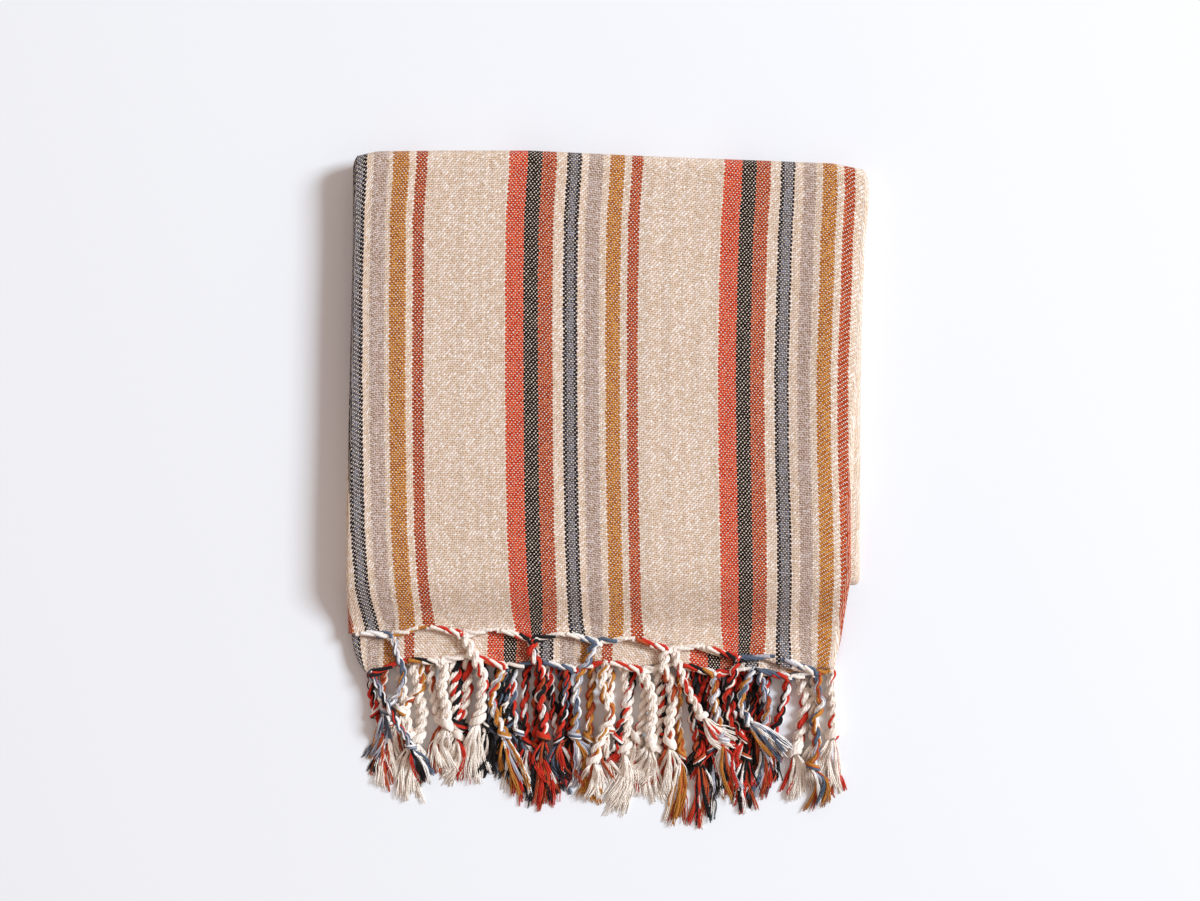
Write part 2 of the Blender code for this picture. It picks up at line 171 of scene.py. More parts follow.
Column = namedtuple("Column", "share top_drop front_more back_more")
COLUMNS = [
    Column(0.00, 3.5, 0.0, 1.0),
    Column(0.04, 0.5, -2.5, 0.0),
    Column(0.18, 0.0, -5.3, -9.0),
    Column(0.34, 0.0, -1.3, -3.0),
    Column(0.50, 2.5, 1.3, -3.0),
    Column(0.66, 4.8, 7.0, -1.5),
    Column(0.82, 6.8, 14.0, 2.0),
    Column(0.94, 8.6, 22.0, 3.0),
    Column(1.00, 12.5, 23.0, 1.0),
]

Edge = namedtuple("Edge", "y front_left front_right back_left back_right")
EDGES = [
    Edge(-122.0, -169.5, 151.1, -170.5, 167.0),
    Edge(-98.0, -171.0, 155.0, -170.5, 167.0),
    Edge(-57.0, -171.6, 160.4, -170.5, 167.3),
    Edge(-8.0, -171.2, 161.0, -170.0, 167.6),
    Edge(58.0, -169.6, 164.0, -168.5, 167.6),
    Edge(104.0, -168.6, 167.0, -167.5, 168.3),
    Edge(175.0, -167.0, 169.6, -166.5, 169.6),
    Edge(205.0, -167.0, 172.3, -166.5, 172.3),
    Edge(222.8, -167.0, 172.3, -167.0, 172.3),
]

SKIN = 2.5 * PLY + SOLID_THICK / 2
TURN = 3 * PLY
TOP_TURN = TOP - TURN - SKIN
BOTTOM_TURN = BOTTOM_FOLD + TURN + SKIN
LOW_RUN = SKIN
MIDDLE_RUN = LOW_RUN + 2 * TURN
HIGH_RUN = MIDDLE_RUN + 2 * TURN
HEM_RUN = SOLID_THICK / 2 + 2.5 * HEM_PLY
LEFT_TURN = LEFT + 1.5 * PLY + SOLID_THICK / 2
RIGHT_TURN = RIGHT - 2.5 * PLY - SOLID_THICK / 2
THIRD = RIGHT_TURN - LEFT_TURN
LEFT_ARC = math.pi * PLY
RIGHT_ARC = math.tau * PLY
THIRD_START = LEFT_FLAP + LEFT_ARC
THIRD_END = THIRD_START + THIRD
RIGHT_FLAP_START = THIRD_END + RIGHT_ARC
BACK_HEM = FRONT_HEM - (CLOTH_LENGTH - 2 * FRONT_LENGTH)
DROP_SHARE = 0.6
DROOP_HEIGHT = HIGH_RUN - HEM_RUN
DROOP_LENGTH = DROOP_SPAN + DROP_SHARE * DROOP_HEIGHT**2 / DROOP_SPAN
DROOP_END = DROOP_START - DROOP_SPAN
FRONT_RUN = FRONT_LENGTH - (DROOP_END - FRONT_HEM) - DROOP_LENGTH - (TOP_TURN - DROOP_START)
DROOP = FRONT_RUN + TOP_TURN - DROOP_START
TOP_FOLD = FRONT_RUN - math.pi * TURN
BACK_RUN = TOP_FOLD - (TOP_TURN - BOTTOM_TURN)
UNDER_FOLD = BACK_RUN - math.pi * TURN
FIRST_FOLD = BOTTOM_TURN + UNDER_FOLD

cloth_low, cloth_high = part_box("towel_cloth")
SHIFT_X = (cloth_low.x + cloth_high.x) / 2 / MM - (EDGES[2].front_left + EDGES[-1].front_right) / 2
SHIFT_Y = cloth_high.y / MM - TOP


def to_row(points):
    """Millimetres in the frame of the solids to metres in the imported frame."""
    return (np.asarray(points) + (SHIFT_X, SHIFT_Y, 0.0)) * MM


def ease(share):
    share = np.clip(share, 0.0, 1.0)
    return share * share * (3 - 2 * share)


def read(rows, key, value, at):
    """Reads one column of a table at any place, in straight lines between its rows."""
    return np.interp(at, [getattr(row, key) for row in rows], [getattr(row, value) for row in rows])


def fold_across(u, lift, ply):
    """Folds both sides of the doubled cloth under its middle: gives X, and the way out of the front."""
    left = math.pi * ((u - LEFT_FLAP) / LEFT_ARC - 0.5)
    right = math.pi * (0.5 - (u - THIRD_END) / RIGHT_ARC)
    where = [u < LEFT_FLAP, u < THIRD_START, u <= THIRD_END, u < RIGHT_FLAP_START]
    x = [
        LEFT_TURN + LEFT_FLAP - u,
        LEFT_TURN - np.cos(left) * (ply + lift),
        LEFT_TURN + u - THIRD_START,
        RIGHT_TURN + np.cos(right) * (2 * ply + lift),
    ]
    depth = [-lift, ply + np.sin(left) * (ply + lift), 2 * ply + lift, np.sin(right) * (2 * ply + lift)]
    return np.select(where, x, RIGHT_TURN - (u - RIGHT_FLAP_START)), np.select(where, depth, -2 * ply - lift)


def fold_along(s, out):
    """Takes the bundle down from the first fold, over the top, and down to the table: gives Y and Z."""
    under = (s - UNDER_FOLD) / TURN - math.pi / 2
    over = (s - TOP_FOLD) / TURN - math.pi / 2
    share = (s - DROOP) / DROOP_LENGTH
    slope = np.arctan(DROOP_HEIGHT / DROOP_SPAN * 6 * share * (1 - share))
    where = [s < UNDER_FOLD, s < BACK_RUN, s < TOP_FOLD, s < FRONT_RUN, s < DROOP, share < 1]
    y = [
        FIRST_FOLD - s,
        BOTTOM_TURN - np.cos(under) * (TURN - out),
        BOTTOM_TURN + s - BACK_RUN,
        TOP_TURN + np.cos(over) * (TURN + out),
        TOP_TURN - (s - FRONT_RUN),
        DROOP_START - share * DROOP_SPAN - np.sin(slope) * out,
    ]
    z = [
        LOW_RUN + out,
        LOW_RUN + TURN + np.sin(under) * (TURN - out),
        MIDDLE_RUN - out,
        MIDDLE_RUN + TURN + np.sin(over) * (TURN + out),
        HIGH_RUN + out,
        HIGH_RUN - DROOP_HEIGHT * ease(share) + np.cos(slope) * out,
    ]
    return np.select(where, y, DROOP_END - (s - DROOP - DROOP_LENGTH)), np.select(where, z, HEM_RUN + out)


def share_of(x):
    return (x - LEFT_TURN) / THIRD


def draw_in(x, y, front):
    """Brings the straight stack to its real outline: the side edges wander and the top fold slants."""
    left = np.where(front, read(EDGES, "y", "front_left", y), read(EDGES, "y", "back_left", y))
    right = np.where(front, read(EDGES, "y", "front_right", y), read(EDGES, "y", "back_right", y))
    corner = CORNER_SLOPE * (np.maximum(LEFT_TURN - x, 0) + np.maximum(x - RIGHT_TURN, 0))
    leaning = ease((y - LEAN_START) / (TOP - LEAN_START))
    drop = (read(COLUMNS, "share", "top_drop", share_of(x)) + corner) * leaning
    return left + (x - LEFT) / (RIGHT - LEFT) * (right - left), y - drop


def lay(u, s, end, out):
    """Where the cloth lies, u across it, s along it from the first fold and out of its right side."""
    way = s - np.cos(end) * (PLY / 2 + out)
    ply = PLY + (HEM_PLY - PLY) * ease((way - DROOP) / DROOP_LENGTH)
    x, depth = fold_across(u, -np.sin(end) * (ply / 2 + out), ply)
    y, z = fold_along(way, depth)
    x, y = draw_in(x, y, way > (TOP_FOLD + FRONT_RUN) / 2)
    return x, y, z


def along_at(y):
    """The way along the bundle to a place in Y on its front run, past the start of the droop."""
    drooping = DROOP + (DROOP_START - y) * DROOP_LENGTH / DROOP_SPAN
    return np.where(y > DROOP_END, drooping, DROOP + DROOP_LENGTH + DROOP_END - y)


# A cord pulls the hem down where it grows, and the hem springs back between two cords
FRONT_ROOTS = [-142.6, -95.7, -49.0, -5.6, 40.3, 87.1, 138.6]
BACK_ROOTS = [-157.1, -110.2, -67.3, -21.1, 23.1, 72.0, 121.4]
ROOT_PITCH = 48.0
SCALLOP = 2.0


def scallop(x, roots):
    """How much further down than its mean the hem reaches, at this place in X."""
    marks = [roots[0] - ROOT_PITCH, *roots, roots[-1] + ROOT_PITCH]
    turn = np.interp(x, marks, math.tau * np.arange(len(marks)))
    return SCALLOP * np.cos(turn)


def hem_y(x, end):
    """The place of a hem in Y, at this place in X."""
    share = share_of(x)
    if end == FRONT:
        return FRONT_HEM - read(COLUMNS, "share", "front_more", share) - scallop(x, FRONT_ROOTS)
    return BACK_HEM - read(COLUMNS, "share", "back_more", share) - scallop(x, BACK_ROOTS)


# How far to the right the stripes of the layer on top stray from the straight, in Y, at six places across
Stray = namedtuple("Stray", "y far_left left mid_left mid_right right far_right")
STRAY_SHARES = (0.0, 0.11, 0.38, 0.54, 0.78, 0.96)
STRAYS = [
    Stray(-98.0, 9.3, 6.9, 4.6, 3.4, 2.0, 0.0),
    Stray(-88.0, 8.0, 5.9, 4.0, 3.0, 1.8, 0.0),
    Stray(-67.0, 4.4, 3.2, 3.2, 1.8, 1.2, -0.2),
    Stray(-27.0, 1.3, 0.4, 1.6, 0.8, 0.7, -0.7),
    Stray(25.0, 0.0, -0.3, 0.7, -0.1, -0.4, -2.6),
    Stray(78.0, -0.4, -0.8, 0.4, -0.4, -1.0, -3.1),
    Stray(131.0, -0.3, -0.4, 0.3, -0.3, 0.0, -0.9),
    Stray(177.0, 1.2, -0.5, 0.9, 0.5, 1.3, 0.3),
    Stray(213.0, 3.0, 2.0, 3.3, 3.2, 3.9, 2.1),
]
# What the layer under it adds to that, at its hem: its stripes lie further to the left
BACK_STRAYS = (-12.5, -14.5, -20.3, -20.2, -21.2, -22.0)
BACK_STRAY_START = 150.0


def stripe_place(u, x, y, end):
    """Where a point lies across the stripes, which stray a little from the weave's own line."""
    share = np.clip(share_of(x), 0.0, 1.0)
    stray = np.zeros(np.shape(x))
    for name, place in zip(Stray._fields[1:], np.eye(len(STRAY_SHARES))):
        stray = stray + read(STRAYS, "y", name, y) * np.interp(share, STRAY_SHARES, place)
    back = np.interp(share, STRAY_SHARES, BACK_STRAYS)
    back = back * ease((BACK_STRAY_START - y) / (BACK_STRAY_START - BACK_HEM))
    stray = stray + np.where(end > 0, back, 0.0)
    inner = LEFT_TURN + share * THIRD
    drawn = draw_in(inner, y, np.full(np.shape(y), True))[0]
    return u + drawn - inner - stray


# The top is nowhere quite flat, the layers are fuller along the right side, and near each cord the cloth is
# puckered and drawn in towards its root
SWELL = 0.018  # of the height
PUCKER = 2.3
PUCKER_REACH = 15.0
PUCKER_CORE = 4.0
PUCKER_RIDGES = 9
LIFT = 1.6
LIFT_REACH = 13.0
GATHER = 0.3
CORNER_X = -158.5  # the hem's left corner under the top layer is drawn in to the cord that grows there
CORNER_PULL = 0.78
CORNER_REACH = 8.0
PUFF = 0.12  # of the height
PUFF_CREST = 23.0  # in from the right edge, as is its foot
PUFF_FOOT = 52.0
PUFF_ROLL = 0.55  # how far it rolls over from the crest to the edge, in half turns
PUFF_FROM = -85.0  # in Y, where it begins; it is whole from the next
PUFF_WHOLE = -25.0
PUFF_SINKS = 90.0  # from here to the top fold it sinks by the share that follows
PUFF_SINK = 0.6


def puff(x, y):
    """How much fuller the stack is along its right side, as a share of its height."""
    inward = read(EDGES, "y", "front_right", y) - x
    inner = 0.5 + 0.5 * np.cos(math.pi * np.clip((inward - PUFF_CREST) / (PUFF_FOOT - PUFF_CREST), 0.0, 1.0))
    outer = np.cos(PUFF_ROLL * math.pi * np.clip((PUFF_CREST - inward) / PUFF_CREST, 0.0, 1.0))
    whole = ease((y - PUFF_FROM) / (PUFF_WHOLE - PUFF_FROM))
    return PUFF * inner * outer * whole * (1 - PUFF_SINK * ease((y - PUFF_SINKS) / (TOP - PUFF_SINKS)))


def swell(x, y):
    """Waves of three sizes over the top, from about -2 to 2."""
    wide = np.sin(x / 53 + 0.6) * np.sin(y / 67 + 1.1)
    return wide + 0.5 * np.sin(x / 29 - y / 41 + 2.0) + 0.35 * np.sin(x / 17 + y / 23)


def pucker(x, y, roots, end, reach):
    """How much the cloth rises round the cords' roots, and how far it is drawn in to them."""
    rise = np.zeros(np.shape(x))
    pull = np.zeros(np.shape(x))
    for root in roots:
        root_y = float(hem_y(root, end))
        away = np.hypot(x - root, y - root_y)
        turn = np.arctan2(x - root, y - root_y)
        ridges = 0.5 + 0.5 * np.cos(PUCKER_RIDGES * turn + root)
        near = np.exp(-((away / reach) ** 2))
        rise += PUCKER * ridges * near * ease(away / PUCKER_CORE)
        pull += (root - x) * GATHER * near
    lift = LIFT * (1 - scallop(x, roots) / SCALLOP) / 2
    rise += lift * ease(1 - (y - hem_y(x, end)) / LIFT_REACH)
    return rise, pull


def steps(start, end, pitch):
    """Evenly spaced values from start up to, and without, end."""
    return list(np.linspace(start, end, max(round((end - start) / pitch), 1), endpoint=False))


HIDDEN_PITCH = 16.0
FLAP_PITCH = 9.0
SEEN_PITCH = 4.0
FOLD_PITCH = 1.3
FIRST_FOLD_ROWS = 5
HEM_START = along_at(-70.0)  # the last rows reach from here to the hem, however far it is
SEEN_HEM_ROWS = 18
HIDDEN_HEM_ROWS = 22
across = (
    steps(0.0, LEFT_FLAP, FLAP_PITCH)
    + steps(LEFT_FLAP, THIRD_START, FOLD_PITCH / 2)
    + steps(THIRD_START, THIRD_END, SEEN_PITCH)
    + steps(THIRD_END, RIGHT_FLAP_START, FOLD_PITCH)
    + steps(RIGHT_FLAP_START, CLOTH_WIDTH, FLAP_PITCH)
    + [CLOTH_WIDTH]
)


def rows_along(front_pitch):
    return (
        steps(PLY / 2, UNDER_FOLD, HIDDEN_PITCH)
        + steps(UNDER_FOLD, BACK_RUN, FOLD_PITCH)
        + steps(BACK_RUN, TOP_FOLD, HIDDEN_PITCH)
        + steps(TOP_FOLD, FRONT_RUN, FOLD_PITCH)
        + steps(FRONT_RUN, float(HEM_START), front_pitch)
    )


def cloth_rows():
    """The cloth's rows from the front hem to the back one: way along, end, share of the way to the hem."""
    rows = [(HEM_START, FRONT, i / SEEN_HEM_ROWS) for i in range(SEEN_HEM_ROWS, 0, -1)]
    rows += [(s, FRONT, 0.0) for s in reversed(rows_along(SEEN_PITCH) + [float(HEM_START)])]
    rows += [(PLY / 2, turn, 0.0) for turn in np.linspace(FRONT, BACK, FIRST_FOLD_ROWS + 2)[1:-1]]
    rows += [(s, BACK, 0.0) for s in rows_along(HIDDEN_PITCH) + [float(HEM_START)]]
    rows += [(HEM_START, BACK, (i + 1) / HIDDEN_HEM_ROWS) for i in range(HIDDEN_HEM_ROWS)]
    return rows


def length_so_far(points):
    """The length along a line of points up to each of them, or along many lines side by side."""
    gaps = np.linalg.norm(np.diff(points, axis=0), axis=-1)
    return np.concatenate([np.zeros_like(gaps[:1]), np.cumsum(gaps, axis=0)])


def cloth_side(out):
    """The corners of one side of the cloth, a row at a time, and the places of each on the flat cloth."""
    u = np.array(across)
    layer_x = fold_across(u, 0.0, HEM_PLY)[0]
    corners, places = [], []
    for s, end, hem_share in cloth_rows():
        s = np.full(len(u), float(s))
        if hem_share:
            s = s + hem_share * (along_at(hem_y(layer_x, end)) - s)
        x, y, z = lay(u, s, np.full(len(u), end), out)
        stripes = stripe_place(u, x, y, end)
        middle = (u > LEFT_FLAP) & (u < RIGHT_FLAP_START)
        if hem_share or end == FRONT:
            roots, reach = (FRONT_ROOTS, PUCKER_REACH) if end < 0 else (BACK_ROOTS, PUCKER_REACH / 2)
            rise, pull = pucker(x, y, roots, end, reach)
            seen = middle & (s > DROOP)
            z = z + np.where(seen, rise, 0.0)
            x = x + np.where(seen, pull, 0.0)
        if hem_share and end == BACK:
            above_hem = np.maximum(y - hem_y(x, end), 0.0)
            x = x + np.maximum(CORNER_X - x, 0.0) * CORNER_PULL * np.exp(-above_hem / CORNER_REACH)
        z = z * (1 + SWELL * swell(x, y) + puff(x, y))
        corners.append(np.stack([x, y, z], axis=-1))
        places.append(stripes)
    corners = np.array(corners)
    along = length_so_far(corners)
    middle_row = [end for _, end, _ in cloth_rows()].index(0.0)
    along += CLOTH_LENGTH / 2 - along[middle_row]
    return corners, np.stack([np.array(places), along], axis=-1)


def new_piece(name, corners, faces, finish):
    """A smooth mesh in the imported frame, which rides on the part and fills one of its material slots."""
    mesh = bpy.data.meshes.new(name)
    mesh.from_pydata(to_row(corners).tolist(), [], faces)
    mesh.shade_smooth()
    mesh.materials.append(finish)
    made = new_object(name, mesh)
    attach(made, "root")
    return made


def add_places(mesh, name, places):
    """Stores a place on the flat material for each corner of each face, in metres, as a UV map."""
    layer = mesh.uv_layers.new(name=name)
    layer.data.foreach_set("uv", (np.asarray(places) * MM).astype(np.float32).ravel())


def new_group(name, inputs, outputs):
    """An empty node group with its sockets, each (name, kind): gives the group and its two ends."""
    group = bpy.data.node_groups.new(name, "ShaderNodeTree")
    for direction, sockets in (("INPUT", inputs), ("OUTPUT", outputs)):
        for socket, kind in sockets:
            group.interface.new_socket(socket, in_out=direction, socket_type="NodeSocket" + kind)
    return group, group.nodes.new("NodeGroupInput").outputs, group.nodes.new("NodeGroupOutput").inputs


def calc(tree, operation, *values):
    return node(tree, "Math", values, operation=operation).outputs[0]


def place_group(tree, group, **sockets):
    """Puts a node group in a tree and gives its outputs."""
    made = tree.nodes.new("ShaderNodeGroup")
    made.node_tree = group
    for name, value in sockets.items():
        feed(tree, made.inputs[name], value)
    return made.outputs


def calc_each(tree, operation, *values):
    """A sum done on each part of a colour or a place."""
    return node(tree, "VectorMath", values, operation=operation).outputs[0]


def times(tree, value, by):
    """A colour or a place times a number."""
    made = node(tree, "VectorMath", (value,), operation="SCALE")
    feed(tree, made.inputs["Scale"], by)
    return made.outputs[0]


def make_cotton():
    """Soft spun cotton: a colour that varies from fibre to fibre, and the small bumps of its fibres."""
    group, given, wanted = new_group(
        "cotton",
        [("Colour", "Color"), ("Place", "Vector"), ("Fineness", "Float"), ("Variation", "Float")],
        [("Colour", "Color"), ("Height", "Float")],
    )
    fine_place = times(group, given["Place"], given["Fineness"])
    fibres = node(group, "TexNoise", (fine_place, None, 1.0, 3.0, 0.6)).outputs["Fac"]
    around_one = node(group, "MapRange", (fibres, 0.3, 0.7, -0.5, 0.5)).outputs[0]
    brightness = calc(group, "MULTIPLY_ADD", around_one, given["Variation"], 1.0)
    group.links.new(times(group, given["Colour"], brightness), wanted["Colour"])
    group.links.new(fibres, wanted["Height"])
    return group


COTTON = make_cotton()

# The weave: plain weave, with close coloured warp along the towel and thinner ivory weft, which shows as dots
WARP_PITCH = 1.18
WEFT_PITCH = 1.44
IVORY = (0.93, 0.862, 0.768)
BEIGE = (0.695, 0.595, 0.51)
RED = (0.575, 0.060, 0.017)
BLACK = (0.015, 0.008, 0.0055)
RUST = (0.405, 0.058, 0.013)
NAVY = (0.018, 0.017, 0.024)
BLUE = (0.15, 0.148, 0.172)
GREY = (0.455, 0.355, 0.315)
MUSTARD = (0.46, 0.172, 0.020)
FIRST_RED = -66.7 - LEFT_TURN + THIRD_START  # where a repeat of the stripes begins
REPEAT = 140.6
STRIPES = [
    (0.0, RED),
    (11.2, BLACK),
    (20.8, RUST),
    (30.0, BEIGE),
    (37.3, NAVY),
    (39.6, BLUE),
    (44.6, NAVY),
    (46.9, BEIGE),
    (51.75, GREY),
    (60.95, BEIGE),
    (64.9, MUSTARD),
    (75.2, BEIGE),
    (79.9, RUST),
    (86.5, BEIGE),
]
WARP_HALF = 0.66  # half a warp thread's width, in warp pitches
WARP_SWING = 0.5  # how far a thread rises and dips, in its own half thickness
WEFT_HALF = 0.38
WEFT_SWING = 0.5
WEFT_THICK = 0.5
WEFT_SUNK = 0.15
WEAVE_DEPTH = 0.3
BEAD_SLANT = -0.3  # how far a thread's rise leans, in weft pitches for each warp pitch
STRAYS_ASIDE = ((140.0, 1.0), (700.0, 0.7))  # how often in a metre the threads stray, and how far, in pitches
WEFT_SINKS = 0.07  # how unevenly the weft sinks: from one weft thread, bead and patch to the next
BEAD_SINKS = 0.2
PATCH_SINKS = 0.04
PATCH_SCALE = 90.0
SOFT_EDGE = 0.05  # over which warp gives way to weft
WARP_TONE = 0.16  # from the darkest to the lightest warp thread
# The yarn is unevenly bleached: the tint of its tannest and palest beads
TAN_BEAD = (1.0, 0.925, 0.78, 1.0)
PALE_BEAD = (1.0, 1.05, 1.09, 1.0)
# Each of these is how much a tone changes over its range, and where it starts
BEAD_TONE = (0.14, 0.92)
BEAD_FADING = (-0.45, 1.22)
WEFT_TONE = (0.1, 0.95)
# The last is the painted crevice shade: how much darker the deepest crevice is painted, and the cloth's
# brightness where there is none
DEEP_SHADE = (-0.2, 1.09)
WEFT_BOUNCE_AND_FUZZ = 0.07  # of the warp's colour is painted into the weft: light bounced onto it from the warp round it, and a little of the warp's fuzz
CREVICES = (0.65, 1.2)  # the painted crevice shade is strongest at the first height, and ends at the second
WEFT_OPEN = -0.5  # how much less of a crevice's shade the weft takes
DEEP_TINT = (0.84, 0.56, 0.38)  # tint of the painted crevice shade, for the light that has gone from thread to thread


def round_thread(tree, away, half_width, thick):
    """The height of a round thread at this distance from its middle."""
    share = calc(tree, "DIVIDE", away, half_width)
    left = calc(tree, "MAXIMUM", calc(tree, "SUBTRACT", 1.0, calc(tree, "MULTIPLY", share, share)), 0.0)
    return calc(tree, "MULTIPLY", calc(tree, "SQRT", left), thick)


def wave(tree, value, size):
    """A wave that is highest at every second whole value."""
    return calc(tree, "MULTIPLY", calc(tree, "COSINE", calc(tree, "MULTIPLY", value, math.pi)), size)


def mix_colours(tree, share, first, second):
    mixed = node(tree, "Mix", data_type="RGBA")
    for socket, value in ((0, share), (6, first), (7, second)):
        feed(tree, mixed.inputs[socket], value)
    return mixed.outputs[2]


def pushed(tree, place, scale, size):
    """A small sideways push that changes smoothly over the cloth."""
    noise = node(tree, "TexNoise", (place, None, scale, 1.0, 0.5)).outputs["Color"]
    centred = calc_each(tree, "SUBTRACT", noise, (0.5, 0.5, 0.5))
    return calc_each(tree, "MULTIPLY", centred, (size, size, 0.0))


def weave_material():
    finish, tree, shader = new_material(
        "striped_cotton", Roughness=0.92, Specular_IOR_Level=0.05, Sheen_Weight=0.015, Sheen_Roughness=0.6
    )
    work = partial(calc, tree)
    place = node(tree, "UVMap", uv_map="cloth").outputs[0]
    pitch = (1 / (WARP_PITCH * MM), 1 / (WEFT_PITCH * MM), 0.0)
    cells = calc_each(tree, "MULTIPLY", place, pitch)
    for scale, size in STRAYS_ASIDE:
        cells = calc_each(tree, "ADD", cells, pushed(tree, place, scale, size))
    across, along = node(tree, "SeparateXYZ", (cells,)).outputs[:2]

    # Every second warp thread is up where the others are down, and one that is up leans over its neighbours
    heights, threads = [], []
    for odd in (0, 1):
        from_middle = work("SUBTRACT", across, 0.5 + odd)
        away = work("WRAP", from_middle, 1.0, -1.0)
        threads.append(work("ADD", work("SUBTRACT", from_middle, away), odd))
        leaning = work("MULTIPLY_ADD", away, BEAD_SLANT, work("SUBTRACT", along, 0.5 - odd))
        rise = wave(tree, leaning, WARP_SWING)
        heights.append(work("ADD", round_thread(tree, away, WARP_HALF, 1.0), rise))
    odd_on_top = work("GREATER_THAN", heights[1], heights[0])
    warp_height = work("MAXIMUM", *heights)
    warp = work("MULTIPLY_ADD", odd_on_top, work("SUBTRACT", threads[1], threads[0]), threads[0])
    weft = work("FLOOR", along)
    from_weft = work("SUBTRACT", work("FRACT", along), 0.5)
    weft_round = round_thread(tree, from_weft, WEFT_HALF, WEFT_THICK)
    weft_rise = wave(tree, work("ADD", work("SUBTRACT", across, 0.5), weft), -WEFT_SWING)
    patches = node(tree, "TexNoise", (place, None, PATCH_SCALE, 3.0, 0.6)).outputs["Fac"]
    weft_tone = node(tree, "TexWhiteNoise", (None, weft), noise_dimensions="1D").outputs["Value"]
    bead = work("ADD", along, work("SUBTRACT", warp, 0.5))
    bead = work("ROUND", work("MULTIPLY", bead, 0.5))
    bead_place = node(tree, "CombineXYZ", (warp, bead, 0.0)).outputs[0]
    bead_tone = node(tree, "TexWhiteNoise", (bead_place,), noise_dimensions="2D").outputs["Value"]
    sunk = work("ADD", work("MULTIPLY", patches, -PATCH_SINKS), PATCH_SINKS / 2 + WEFT_SUNK)
    for unevenly, by in ((weft_tone, WEFT_SINKS), (bead_tone, BEAD_SINKS)):
        sunk = work("ADD", sunk, work("MULTIPLY_ADD", unevenly, by, -by / 2))
    weft_height = work("SUBTRACT", work("ADD", weft_round, weft_rise), sunk)
    above = work("SUBTRACT", weft_height, warp_height)
    shows = node(tree, "MapRange", (above, -SOFT_EDGE, SOFT_EDGE, 0.0, 1.0)).outputs[0]
    height = work("MAXIMUM", warp_height, weft_height)

    thread = work("MULTIPLY", work("ADD", warp, 0.5), WARP_PITCH)
    thread = work("FLOORED_MODULO", work("SUBTRACT", thread, FIRST_RED), REPEAT)
    ramp = tree.nodes.new("ShaderNodeValToRGB")
    ramp.color_ramp.interpolation = "CONSTANT"
    for i, (start, colour) in enumerate(STRIPES):
        stop = ramp.color_ramp.elements[i] if i < 2 else ramp.color_ramp.elements.new(start / REPEAT)
        stop.position = start / REPEAT
        stop.color = (*colour, 1.0)
    tree.links.new(work("DIVIDE", thread, REPEAT), ramp.inputs[0])

    warp_tone = node(tree, "TexWhiteNoise", (None, warp), noise_dimensions="1D").outputs["Value"]
    tone = work("MULTIPLY_ADD", warp_tone, WARP_TONE, work("MULTIPLY_ADD", bead_tone, *BEAD_TONE))
    fading = work("MULTIPLY_ADD", bead_tone, *BEAD_FADING)
    warp_colour = times(tree, node(tree, "Gamma", (ramp.outputs[0], fading)).outputs[0], tone)
    bleaching = mix_colours(tree, bead_tone, TAN_BEAD, PALE_BEAD)
    warp_colour = calc_each(tree, "MULTIPLY", warp_colour, bleaching)
    weft_colour = times(tree, IVORY, work("MULTIPLY_ADD", weft_tone, *WEFT_TONE))
    # Painted bounce light: the weft takes a little of the colour of the warp round it, as light bounced from
    # the warp, with a little of its fuzz
    weft_colour = mix_colours(tree, WEFT_BOUNCE_AND_FUZZ, weft_colour, ramp.outputs[0])
    shown = mix_colours(tree, shows, warp_colour, weft_colour)
    # Painted shade: where the threads lie low, the colour is darkened and tinted warm, for the shade in the
    # crevices between them and the light bounced from thread to thread
    depth = node(tree, "MapRange", (height, *CREVICES, 1.0, 0.0)).outputs[0]
    depth = work("MULTIPLY", depth, work("MULTIPLY_ADD", shows, WEFT_OPEN, 1.0))
    painted_crevice_shade = calc_each(tree, "MULTIPLY", calc_each(tree, "MULTIPLY", shown, shown), DEEP_TINT)
    shown = mix_colours(tree, depth, shown, painted_crevice_shade)
    shown = times(tree, shown, work("MULTIPLY_ADD", depth, *DEEP_SHADE))
    cotton = place_group(tree, COTTON, Colour=shown, Place=place, Fineness=1600.0, Variation=0.35)
    tree.links.new(cotton["Colour"], shader.inputs["Base Color"])
    raised = work("MULTIPLY_ADD", cotton["Height"], 0.3, height)
    bump = node(tree, "Bump", (0.55, WEAVE_DEPTH * MM))
    tree.links.new(raised, bump.inputs["Height"])
    tree.links.new(bump.outputs[0], shader.inputs["Normal"])
    return finish


outer, flat_places = cloth_side(THICK / 2)
inner, _ = cloth_side(-THICK / 2)
row_count, column_count = outer.shape[:2]
grid = np.arange(row_count * column_count).reshape(row_count, column_count)
near = np.stack([grid[:-1, :-1], grid[:-1, 1:], grid[1:, 1:], grid[1:, :-1]], axis=-1).reshape(-1, 4)
far = near[:, ::-1] + grid.size
edge_round = np.concatenate([grid[0, :-1], grid[:-1, -1], grid[-1, :0:-1], grid[:0:-1, 0]])
after = np.roll(edge_round, -1)
rim = np.stack([after, edge_round, edge_round + grid.size, after + grid.size], axis=-1)
cloth_faces = np.concatenate([near, far, rim])
woven_cloth = new_piece(
    "woven_cloth",
    np.concatenate([outer.reshape(-1, 3), inner.reshape(-1, 3)]),
    cloth_faces.tolist(),
    weave_material(),
)
both_sides = np.concatenate([flat_places.reshape(-1, 2)] * 2)
add_places(woven_cloth.data, "cloth", both_sides[cloth_faces.ravel()])
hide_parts("towel_cloth")


# The yarn of the fringe: the towel's own warp, soft cotton in the stripes' colours, one letter for each. It
# is twisted in strands of five yarns, and two strands are laid up the other way round into a cord.
YARNS = {
    "c": (0.935, 0.815, 0.705),
    "w": (0.90, 0.84, 0.775),
    "r": (0.60, 0.034, 0.016),
    "o": (0.46, 0.080, 0.024),
    "k": (0.014, 0.012, 0.012),
    "b": (0.100, 0.125, 0.175),
    "g": (0.46, 0.44, 0.475),
    "m": (0.52, 0.20, 0.034),
}


